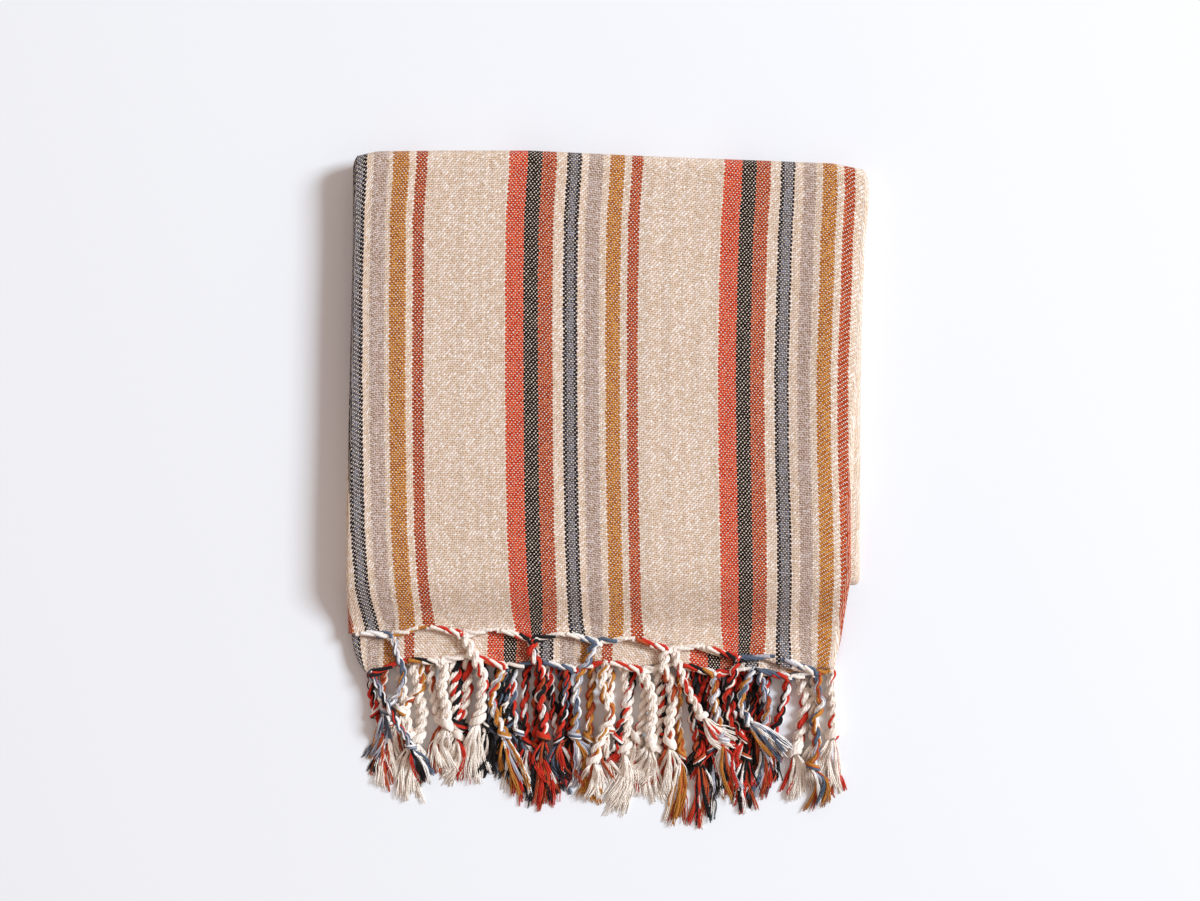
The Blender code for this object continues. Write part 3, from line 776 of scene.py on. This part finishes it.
class Skein:
    """Round yarns gathered into one mesh: their corners, faces, colours and places along the yarn."""

    def __init__(self):
        self.corners, self.faces, self.colours, self.places = [], [], [], []
        self.count = 0

    def add(self, points, radii, sides, colour):
        """Adds one yarn along these points. A place is the share of the way round, and the length so far."""
        points = np.array(points, float)
        radii = np.broadcast_to(radii, len(points))
        points[:, 2] = np.maximum(points[:, 2], radii)
        ways = np.gradient(points, axis=0)
        ways /= np.maximum(np.linalg.norm(ways, axis=1), 1e-9)[:, None]
        turns = np.linspace(0, math.tau, sides, endpoint=False)
        side = np.cross(ways[0], (0.31, 0.22, 0.92))
        rings = []
        for point, way, radius in zip(points, ways, radii):
            side = side - way * side.dot(way)
            side /= math.sqrt(side.dot(side))
            up = np.cross(way, side)
            rings.append(point + radius * (np.outer(np.cos(turns), side) + np.outer(np.sin(turns), up)))
        length = length_so_far(points)
        rows = self.count + sides * np.arange(len(points) - 1)[:, None]
        first = rows + np.arange(sides)
        following = rows + (np.arange(sides) + 1) % sides
        quads = np.stack([first, following, following + sides, first + sides], axis=-1)
        turn = np.broadcast_to(np.arange(sides) / sides, first.shape)
        start = np.broadcast_to(length[:-1, None], first.shape)
        end = np.broadcast_to(length[1:, None], first.shape)
        corners = [(turn, start), (turn + 1 / sides, start), (turn + 1 / sides, end), (turn, end)]
        self.places.append(np.stack([np.stack(pair, axis=-1) for pair in corners], axis=2).reshape(-1, 2))
        self.faces += quads.reshape(-1, 4).tolist()
        last = self.count + sides * (len(points) - 1)
        self.faces += [list(range(self.count, self.count + sides))[::-1], list(range(last, last + sides))]
        self.places.append(np.zeros((2 * sides, 2)))
        self.corners.append(np.concatenate(rings))
        self.colours.append(np.tile((*colour, 1.0), (sides * len(points), 1)))
        self.count += sides * len(points)

    def finish(self, name, finish, *nodes):
        made = new_piece(name, np.concatenate(self.corners), self.faces, finish)
        add_places(made.data, "yarn", np.concatenate(self.places))
        colour = made.data.color_attributes.new("yarn_colour", "FLOAT_COLOR", "POINT")
        colour.data.foreach_set("color", np.concatenate(self.colours).astype(np.float32).ravel())
        if nodes:
            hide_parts(*nodes)
        return made


def yarn_material(name, plies, lean, depth, groove_shade):
    """Twisted yarn in its own colour, with painted shade in the grooves between its plies; plies is how many
    finer yarns show round it, lean how they turn, and the last argument how much darker the grooves are
    painted.
    """
    finish, tree, shader = new_material(
        name, Roughness=0.9, Specular_IOR_Level=0.15, Sheen_Weight=0.06, Sheen_Roughness=0.5
    )
    colour = node(tree, "Attribute", attribute_name="yarn_colour", attribute_type="GEOMETRY").outputs["Color"]
    place = node(tree, "UVMap", uv_map="yarn").outputs[0]
    split = node(tree, "SeparateXYZ", (place,)).outputs
    turned = calc(tree, "MULTIPLY_ADD", split[1], lean / MM, calc(tree, "MULTIPLY", split[0], 1000 * plies))
    ridge = calc(tree, "ABSOLUTE", calc(tree, "SINE", calc(tree, "MULTIPLY", turned, math.pi)))
    # Painted shade: the colour is darkened in the grooves between the plies, by the last argument
    groove = node(tree, "MapRange", (ridge, 0.0, 0.6, 1 - groove_shade, 1.0)).outputs[0]
    shaded = times(tree, colour, groove)
    here = node(tree, "NewGeometry").outputs["Position"]
    cotton = place_group(tree, COTTON, Colour=shaded, Place=here, Fineness=900.0, Variation=0.25)
    tree.links.new(cotton["Colour"], shader.inputs["Base Color"])
    bump = node(tree, "Bump", (0.8, depth * MM))
    tree.links.new(calc(tree, "MULTIPLY_ADD", cotton["Height"], 0.5, ridge), bump.inputs["Height"])
    tree.links.new(bump.outputs[0], shader.inputs["Normal"])
    return finish


CORD_COTTON = yarn_material("corded_cotton", plies=2, lean=0.35, depth=0.2, groove_shade=0.15)
TUFT_COTTON = yarn_material("loose_cotton", plies=2, lean=0.5, depth=0.1, groove_shade=0.08)


def smooth_route(stops, pitch):
    """A smooth curve through the stops, read at even steps of about this pitch."""
    stops = np.asarray(stops, float)
    padded = np.vstack([2 * stops[0] - stops[1], stops, 2 * stops[-1] - stops[-2]])
    fine = []
    for a, b, c, d in zip(padded, padded[1:], padded[2:], padded[3:]):
        t = np.linspace(0, 1, 16, endpoint=False)[:, None]
        bend, twist = 2 * a - 5 * b + 4 * c - d, 3 * b - a - 3 * c + d
        fine.append(0.5 * (2 * b + (c - a) * t + bend * t**2 + twist * t**3))
    fine = np.vstack([*fine, stops[-1]])
    length = length_so_far(fine)
    even = np.linspace(0, length[-1], max(round(length[-1] / pitch), 3) + 1)
    return np.stack([np.interp(even, length, fine[:, i]) for i in range(3)], axis=-1), even


def cord_frame(route):
    """The level and the upward direction, square to the cord, at each point of its route."""
    ways = np.gradient(route, axis=0)
    ways /= np.linalg.norm(ways, axis=1)[:, None]
    side = np.cross(ways, (0.0, 0.0, 1.0))
    side /= np.linalg.norm(side, axis=1)[:, None]
    return side, np.cross(side, ways)


# Sizes of a strand are given in the cord's width, and those of a yarn in its strand's radius
STRAND_RADIUS = 0.285
STRAND_AWAY = 0.255
YARN_AWAY = 0.52
YARN_RADIUS = 0.52
STRAND_PITCH = 14.0
YARN_PITCH = 40.0
YARN_SIDES = 5


def around(side, up, angle, away):
    """Points this far away from a cord's middle, at an angle round it."""
    away = np.broadcast_to(away, len(side))
    return (np.cos(angle)[:, None] * side + np.sin(angle)[:, None] * up) * away[:, None]


def lay_yarns(skein, route, length, width, strands, start, pitch=STRAND_PITCH):
    """Lays strands, each a word of yarn letters, round a route. Gives where each yarn ends."""
    side, up = cord_frame(route)
    ends = []
    radius = width * (STRAND_RADIUS if len(strands) > 1 else 0.5)
    away = width * (STRAND_AWAY if len(strands) > 1 else 0.0)
    for i, strand in enumerate(strands):
        turn = start + math.tau * (i / len(strands) - length / pitch)
        middle = route + around(side, up, turn, away)
        for j, letter in enumerate(strand):
            yarn_turn = start + math.tau * (j / len(strand) + length / YARN_PITCH)
            path = middle + around(side, up, yarn_turn, radius * YARN_AWAY)
            skein.add(path, radius * YARN_RADIUS, YARN_SIDES, YARNS[letter])
            ends.append((path[-1], letter))
    return ends


# The hems: between two cords the ends of the warp run sideways along the edge of the cloth, one joining the
# other, in a small twisted rope that thickens towards the cord. Two such ropes meet at each root and turn
# down into the cord.
GATHER_REACH = 24.0
GATHER_SPAN = {FRONT: (-167.0, 148.0), BACK: (-159.0, 140.0)}
GATHER_SHORT = 6.0
GATHER_THIN = 0.6
GATHER_THICK = 1.9
GATHER_YARN = 1.4
GATHER_PITCH = 30.0
GATHER_JOINS = 0.72
GATHER_POINTS = 13
GATHERS = {
    FRONT: "cwwbb mcc, ccrrcc cccc, cccrrk cckk, ccwwbb ccb, corrcc ccccc, ccrrkk bgbkb, bgwbbc mmo",
    BACK: "bb rrkk, omkccc cccc, ccrrocc kbc, kbwwbb rrc, ccrrcc cccc, rrkwcm ccrr, kbbwrr bwc",
}
HEM_LEVEL = {FRONT: HEM_RUN + 2.5 * HEM_PLY, BACK: HEM_RUN + 1.5 * HEM_PLY}
ROOTS = {FRONT: FRONT_ROOTS, BACK: BACK_ROOTS}


def gather_hem(skein, root, end, words):
    """The ropes of warp that run along the hem into one cord, from the left and from the right."""
    for word, reach in zip(words, (-GATHER_REACH, GATHER_REACH)):
        start = np.clip(root + reach, *GATHER_SPAN[end])
        if abs(start - root) < GATHER_SHORT:
            continue
        x = np.linspace(start, root, GATHER_POINTS)
        near = np.linspace(0, 1, GATHER_POINTS)
        lifted = LIFT * (1 - scallop(x, ROOTS[end]) / SCALLOP) / 2
        stops = np.stack([x, hem_y(x, end) - 0.3, HEM_LEVEL[end] + lifted + 0.5 + near], axis=-1)
        stops[-1] += (0.0, -2.5, 0.6)
        route, length = smooth_route(stops, 0.9)
        side, up = cord_frame(route)
        for i, letter in enumerate(word):
            joins = int(GATHER_JOINS * len(route) * i / len(word))
            turn = math.tau * (i * 0.38 - length / GATHER_PITCH)
            thicker = ease(length / length[-1]) * i / (len(word) - 1)
            path = route + around(side, up, turn, GATHER_THIN + (GATHER_THICK - GATHER_THIN) * thicker)
            skein.add(path[joins:], GATHER_YARN, YARN_SIDES, YARNS[letter])


# The cords: each is twisted from the root down, tied in one overhand knot, and ends in a tuft of its loose
# yarns. Those on top grow from the two hems of the front third, and those under them from the flaps below.
# Levels: 0 on the table, 1 on the cords below, 2 over one.
LEVELS = (2.9, 8.6, 13.2)
KNOT_LENGTH = 6.5
KNOT_SWELL = 1.12
KNOT_TURNS = 1.15
KNOT_YARN = 0.13  # in the cord's width, as are the next two
KNOT_BAND = 0.27
KNOT_SLANT = 0.42
KNOT_POINTS = 24
KNOT_TUCK = 0.12
ROOT_IN = 1.0  # how far inside the hem a cord starts, and how far above it
ROOT_UP = 1.2
WOBBLE = 0.45
UNEVEN = 0.06  # of the cord's width
ROUTE_PITCH = 0.9
Cord = namedtuple("Cord", "end thick yarns root bends knot tip level")
UPPER_CORDS = [
    Cord(BACK, 5.0, "wwbgb rkkwb", -157.1, [(-152, -131), (-143, -147, 2), (-136.5, -158.5, 2)],
         (-130, -171), (-117.5, -195), 1),
    Cord(FRONT, 5.0, "wggbb wgmbg", -142.6,
         [(-139.5, -107, 1.6), (-135.3, -123), (-137.5, -133), (-142, -140.5)],
         (-147.5, -147.5), (-154, -183), 1),
    Cord(BACK, 7.2, "ccccc ccccc", -110.2, [(-108, -122), (-109.2, -133), (-106.5, -147)],
         (-106, -156), (-112, -187), 1),
    Cord(FRONT, 7.6, "ccccc ccccr", -95.7,
         [(-90.4, -107, 1.6), (-85.8, -114.5, 1.6), (-82.5, -126), (-82.5, -137)],
         (-85.5, -153), (-92, -196), 1),
    Cord(BACK, 6.0, "mmmwg wwgrm", -68.0, [(-73.3, -129.7), (-76.6, -138.5), (-73.5, -150)],
         (-68, -163), (-58, -202), 1),
    Cord(FRONT, 7.0, "rrrok cwkkr", -49.0, [(-48.8, -110.5, 1.6), (-42.6, -124), (-44, -138), (-42.2, -151)],
         (-42.2, -164), (-39.5, -198), 1),
    Cord(BACK, 5.4, "rkkwb orrkb", -26.0, [(-27.6, -136.3), (-29, -152)], (-32, -166), (-28.5, -197), 1),
    Cord(FRONT, 6.2, "ggbbw mmgwg", -5.6, [(-12, -111.2, 1.6), (-17.5, -122.5), (-20.8, -134), (-20.3, -150)],
         (-21.5, -163.5), (-13.8, -199), 1),
    Cord(BACK, 7.0, "ccccc comcm", 0.0, [(-3.6, -128.5), (-1, -139), (2.5, -151), (-3.6, -163)],
         (-8.5, -179), (-12.3, -206), 1),
    Cord(BACK, 7.4, "ccccc ccccc", 22.5, [(29, -136.3), (30, -148), (28.4, -160)],
         (29.5, -168.5), (13.5, -195), 1),
    Cord(FRONT, 7.2, "ccccc ccooc", 40.3, [(37.4, -118, 1.6), (42.2, -130), (44, -139), (41.6, -152)],
         (41.6, -168.5), (36.5, -203), 1),
    Cord(FRONT, 5.8, "ccccc cccrr", 44.5, [(49.5, -125, 2), (54, -133.5), (58.5, -143)],
         (62.5, -150), (85, -173.5), 2),
    Cord(FRONT, 6.0, "rrrkc kkcrr", 87.1, [(83.2, -124.4, 1.6), (79.9, -133), (79.4, -142), (82, -153)],
         (89.5, -164.5), (85.5, -197), 1),
    Cord(BACK, 6.4, "gwggw wmoom", 72.0, [(70.5, -128), (72.2, -134), (71, -142)], (77, -166), (83, -206), 1),
    Cord(BACK, 5.8, "ggoob wmggb", 101.0, [(102.6, -132.7), (107, -143)], (104, -157), (108, -192), 1),
    Cord(BACK, 5.6, "bbgww mmgbw", 97.0, [(91.7, -129.7), (88.4, -138), (89, -145)],
         (92.5, -152.5), (118.5, -177.5), 2),
    Cord(FRONT, 6.0, "mmobb wwgom", 138.6, [(139.8, -135), (141.6, -144), (136.8, -155), (139.2, -166)],
         (136.3, -184), (143, -213), 1),
]
HIGH_REST = 9.0  # how high the tuft of a cord that lies over another comes to rest
UPPER_SETTLED = 6.0  # how far above its rest a thread may stay
LOWER_SETTLED = 3.0
UNDER_HEM = 3.5
LOWER_START = 3.4
LOWER_KNOT_UP = 0.6
Lower = namedtuple("Lower", "thick yarns top middle knot tip")
LOWER_CORDS = [Lower(*row) for row in (
    (5.4, "wwrrk kkwrr", -158, (-156, -137), (-154, -149), (-149, -188)),
    (5.8, "ccooc cccoo", -147, (-150, -140), (-146, -158), (-148, -198)),
    (6.7, "cccmm ccoom", -126, (-123.6, -131), (-137, -147.5), (-140, -184)),
    (8.0, "ccccc ccccc", -130, (-123, -150), (-126, -166), (-134, -208)),
    (6.9, "ccccc cccoo", -118, (-115.5, -136), (-110.5, -155), (-111, -190)),
    (7.8, "ccccc ccccc", -104, (-101, -140), (-99, -158), (-104, -190)),
    (7.6, "ccccc rrrcc", -94.4, (-92.6, -131), (-98.6, -163.5), (-104, -197)),
    (5.8, "kkkbb wwkkb", -82, (-80, -142), (-76, -160), (-84, -192)),
    (5.6, "cckkk kkccw", -71, (-66, -140), (-80, -158), (-82, -188)),
    (6.0, "wwbbg kkrrw", -61, (-62.7, -143), (-58.5, -162), (-56, -193)),
    (5.8, "rrrkk wwkrr", -51.5, (-55, -140), (-53, -168), (-54, -209)),
    (6.0, "oorrk kkrro", -44, (-47, -142), (-46, -172), (-43, -213)),
    (6.3, "rrkkw wwkrr", -39, (-36.3, -144), (-32, -168), (-26, -196)),
    (5.6, "kkook kkbbr", -30, (-30, -142), (-30, -168), (-33, -204)),
    (6.0, "mmmcc ooomm", -9, (-11, -140), (-12, -166), (-9.5, -209)),
    (7.3, "ccccc ccccc", 10, (14, -140), (12, -172), (6, -216)),
    (6.3, "rrwwk kkrrw", 19, (12, -148), (7, -166), (3, -184)),
    (7.6, "ccccc ccccc", 33, (36, -144), (33, -172), (31, -208)),
    (5.8, "mmomw wommc", 50, (47, -146), (49, -176), (44, -223)),
    (6.5, "oowkk rrcko", 50, (56, -145), (61.5, -180.5), (63.5, -223)),
    (6.0, "rrwbb kkbwr", 66, (69, -144), (70, -172), (74, -205)),
    (6.6, "kkrwk rkgbk", 75, (78, -143), (77, -170), (72, -204)),
    (6.0, "oowkk rrwkk", 91, (94, -146), (92, -178), (90, -215)),
    (5.8, "wwbbg ooowb", 102, (106, -144), (104, -170), (101, -206)),
    (6.3, "rrkkw wwrrk", 119.5, (117.5, -144), (109.5, -163.5), (106, -198)),
    (8.6, "ccccc ccrrc", 128, (131.5, -146), (125, -173), (125, -206)),
    (7.6, "ccccc ccccr", 148, (150, -146), (150, -163), (148, -202)),
    (7.1, "ccccc ccmcc", -138, (-135, -142), (-131, -164), (-127, -196)),
    (8.5, "kkrrk rkkkr", -100, (-99.5, -140), (-98, -157), (-97, -173)),
    (6.0, "kkmmk bkkmk", -72, (-71, -142), (-68, -160), (-70, -192)),
    (6.5, "rrkkr kkrrk", 38, (36.5, -142), (39, -165), (45, -196)),
    (6.5, "kkrrk rrkkk", 57, (60, -140), (64, -162), (60, -194)),
    (6.3, "orrkk wwkkr", 82, (83, -142), (84, -168), (81, -205)),
    (6.0, "kkrrw rrkkb", 108, (104, -140), (101, -160), (109, -190)),
    (6.4, "kkrrk okkrk", 62, (65, -139), (66, -158), (68, -192)),
    (6.4, "kkrkk rrkkb", 87, (88, -140), (90, -160), (88, -194)),
    (6.2, "kkbrk rkkok", 97, (98, -141), (97, -162), (96, -198)),
    (6.2, "kkbbk wwkkr", -66, (-67, -140), (-66, -158), (-62, -192)),
    (6.2, "rrkkr kkrok", -34, (-24, -141), (-24, -160), (-20, -196)),
    (7.0, "ccccc ccrcc", 24, (25, -145), (20, -166), (15, -199)),
    (6.4, "ccooc mmccc", 2, (2, -142), (1, -160), (3, -195)),
    (7.1, "ccccc ccccc", 139, (137, -144), (138, -166), (133, -198)),
)]

# The tufts: below the knot each yarn comes apart into loose cotton threads, which keep the waves of the
# twist, spread, and sink to the table
LOCK_THREADS = 6
THREAD_RADIUS = 0.44
THREAD_SIDES = 4
THREAD_POINTS = 12
TUFT_SPREAD = 1.15
TUFT_BEND = 4.0
TUFT_BRIGHT = 1.05  # loose threads scatter more light than twisted ones
CRIMP = 0.2
CRIMP_LENGTH = (10, 15)
SWAY = 2.4
STRAYING = 0.1
dice = random.Random(7)


def grow_tuft(skein, ends, came, tip, thick, rest, settled):
    """The threads of the knot's yarns: those of one yarn stay together, and no two end quite alike."""
    points = np.array([point for point, _ in ends])
    middle = points.mean(axis=0)
    way = np.array([tip[0] - middle[0], tip[1] - middle[1], 0.0])
    reach = float(np.linalg.norm(way))
    way /= reach
    side = np.array([way[1], -way[0], 0.0])
    drift = came - way * came.dot(way)
    order = sorted(range(len(ends)), key=lambda i: float((points[i] - middle) @ side))
    wide = TUFT_SPREAD * thick * dice.uniform(0.75, 1.3)
    bend = dice.uniform(-TUFT_BEND, TUFT_BEND)
    for place, i in enumerate(order):
        fan = (place + 0.5) / len(ends) * 2 - 1 + dice.uniform(-0.2, 0.2)
        reached = reach * dice.uniform(0.86, 1.08) * (1 - 0.1 * abs(fan))
        low = THREAD_RADIUS + rest + dice.random() ** 1.5 * settled * (1 - 0.7 * abs(fan))
        bow = dice.uniform(0.1, 0.5) * thick
        sway = dice.uniform(-SWAY, SWAY)
        swayed = dice.uniform(0, math.tau)
        start = points[i] * 0.7 + middle * 0.3
        for j in range(LOCK_THREADS):
            shares = np.linspace(0, dice.uniform(0.9, 1.06), THREAD_POINTS)
            loose = 1 + 1.5 * (dice.random() < STRAYING)
            along = shares * reached
            turn = swayed + math.tau * j / LOCK_THREADS
            apart = 0.3 + 0.8 * ease(shares * 1.2)
            crimp = CRIMP * loose * ease(shares * 5)
            waves = math.tau * along / dice.uniform(*CRIMP_LENGTH) + turn
            spread = fan * wide * loose**0.4 * shares**0.8 + sway * np.sin(shares * math.pi * 1.3)
            spread = spread + bend * np.sin(shares * math.pi * 1.15)
            spread = spread + math.cos(turn) * apart + crimp * np.sin(waves)
            height = start[2] + (low - start[2]) * ease(shares * 1.25)
            height = height + bow * np.sin(np.minimum(shares * 2.2, 1) * math.pi)
            height = height + math.sin(turn) * apart * 0.7 + crimp * np.cos(waves)
            turned = drift * (shares * (1 - shares) * reached * 0.4)[:, None]
            path = start + way * along[:, None] + side * spread[:, None] + turned
            path[:, 2] = height
            radius = THREAD_RADIUS * dice.uniform(0.85, 1.15) * (1 - 0.3 * shares**3)
            tone = TUFT_BRIGHT * dice.uniform(0.9, 1.04)
            skein.add(path, radius, THREAD_SIDES, [min(tone * value, 0.98) for value in YARNS[ends[i][1]]])


def tie_knot(skein, middle, way, thick, letters):
    """An overhand knot: the cord's own yarns go round it once, side by side and aslant."""
    level = np.cross(way, (0.0, 0.0, 1.0))
    level /= np.linalg.norm(level)
    up = np.cross(level, way)
    shares = np.linspace(0, 1, KNOT_POINTS)
    level, up = np.tile(level, (KNOT_POINTS, 1)), np.tile(up, (KNOT_POINTS, 1))
    turn = math.tau * KNOT_TURNS * shares - dice.uniform(0.2, 1.6)
    slant = thick * KNOT_SLANT * dice.uniform(0.5, 1.0) * dice.choice((-1, 1))
    tucked = ease(shares / KNOT_TUCK) * ease((1 - shares) / KNOT_TUCK)
    for j, letter in enumerate(letters):
        across = (j + 0.5) / len(letters) * 2 - 1
        away = (thick / 2 + 0.7 - 0.5 * across**2) * (0.5 + 0.5 * tucked)
        along = across * thick * KNOT_BAND + slant * np.cos(turn)
        path = middle + around(level, up, turn, away) + way * along[:, None]
        skein.add(path, thick * KNOT_YARN, YARN_SIDES, YARNS[letter])


def unsteady(length, short, long):
    """A slow wave along a cord, whose length and start are left to chance."""
    return np.sin(math.tau * length / dice.uniform(short, long) + dice.uniform(0, math.tau))


def grow_cord(cords, tufts, stops, thick, strands, tip, rest, settled):
    """One cord through its stops to the knot, which is the last of them, and its tuft."""
    beyond = np.array([tip[0], tip[1], stops[-1][2]]) - stops[-1]
    beyond *= KNOT_LENGTH / 2 / np.linalg.norm(beyond)
    route, length = smooth_route([*stops, stops[-1] + beyond], ROUTE_PITCH)
    from_knot = length - (length[-1] - KNOT_LENGTH)
    free = ease(length / 8) * ease(-from_knot / 6)
    sway = unsteady(length, 17, 24)
    route = route + cord_frame(route)[0] * (WOBBLE * free * sway)[:, None]
    uneven = 1 + UNEVEN * unsteady(length, 14, 30)
    width = thick * (0.8 + 0.2 * ease(length / 6)) * (1 + (uneven - 1) * free)
    width = width * (1 + (KNOT_SWELL - 1) * ease((from_knot + 2) / 2))
    width = width * (1 - 0.25 * ease((from_knot - KNOT_LENGTH + 1.5) / 1.5))
    pitch = STRAND_PITCH * (0.75 + 0.25 * thick / 7) * dice.uniform(0.92, 1.08)
    ends = lay_yarns(cords, route, length, width, strands, dice.uniform(0, math.tau), pitch)
    way = beyond / np.linalg.norm(beyond)
    tie_knot(cords, stops[-1], way, thick, strands[0])
    grow_tuft(tufts, ends, way, tip, thick, rest, settled)


cords, under_cords, tufts, gathers = ({FRONT: Skein(), BACK: Skein()} for _ in range(4))
for end, roots in ROOTS.items():
    for root, words in zip(roots, GATHERS[end].split(", ")):
        gather_hem(gathers[end], root, end, words.split())
for cord in UPPER_CORDS:
    root_y = float(hem_y(cord.root, cord.end))
    stops = [(cord.root, root_y + ROOT_IN, HEM_LEVEL[cord.end] + ROOT_UP)]
    for x, y, *height in cord.bends:
        level = height[0] if height else cord.level
        stops.append((x, y, np.interp(level, range(3), LEVELS)))
    stops.append((*cord.knot, LEVELS[cord.level]))
    stops = np.array(stops, float)
    skeins = cords[cord.end], tufts[cord.end]
    rest = HIGH_REST if cord.level == 2 else 0.0
    grow_cord(*skeins, stops, cord.thick, cord.yarns.split(), cord.tip, rest=rest, settled=UPPER_SETTLED)
for i, cord in enumerate(LOWER_CORDS):
    end = (FRONT, BACK)[i % 2]
    top_y = float(hem_y(cord.top, BACK)) + UNDER_HEM
    knot = (*cord.knot, LEVELS[0] + LOWER_KNOT_UP)
    stops = np.array([(cord.top, top_y, LOWER_START), (*cord.middle, LEVELS[0]), knot], float)
    skeins = under_cords[end], tufts[end]
    grow_cord(*skeins, stops, cord.thick, cord.yarns.split(), cord.tip, rest=0.0, settled=LOWER_SETTLED)

for end, name, solid in ((FRONT, "front", "fringe_front"), (BACK, "back", "fringe_back")):
    cords[end].finish("cords_" + name, CORD_COTTON, solid)
    under_cords[end].finish("under_cords_" + name, CORD_COTTON)
    tufts[end].finish("tufts_" + name, TUFT_COTTON)
    gathers[end].finish("gathered_hem_" + name, CORD_COTTON)
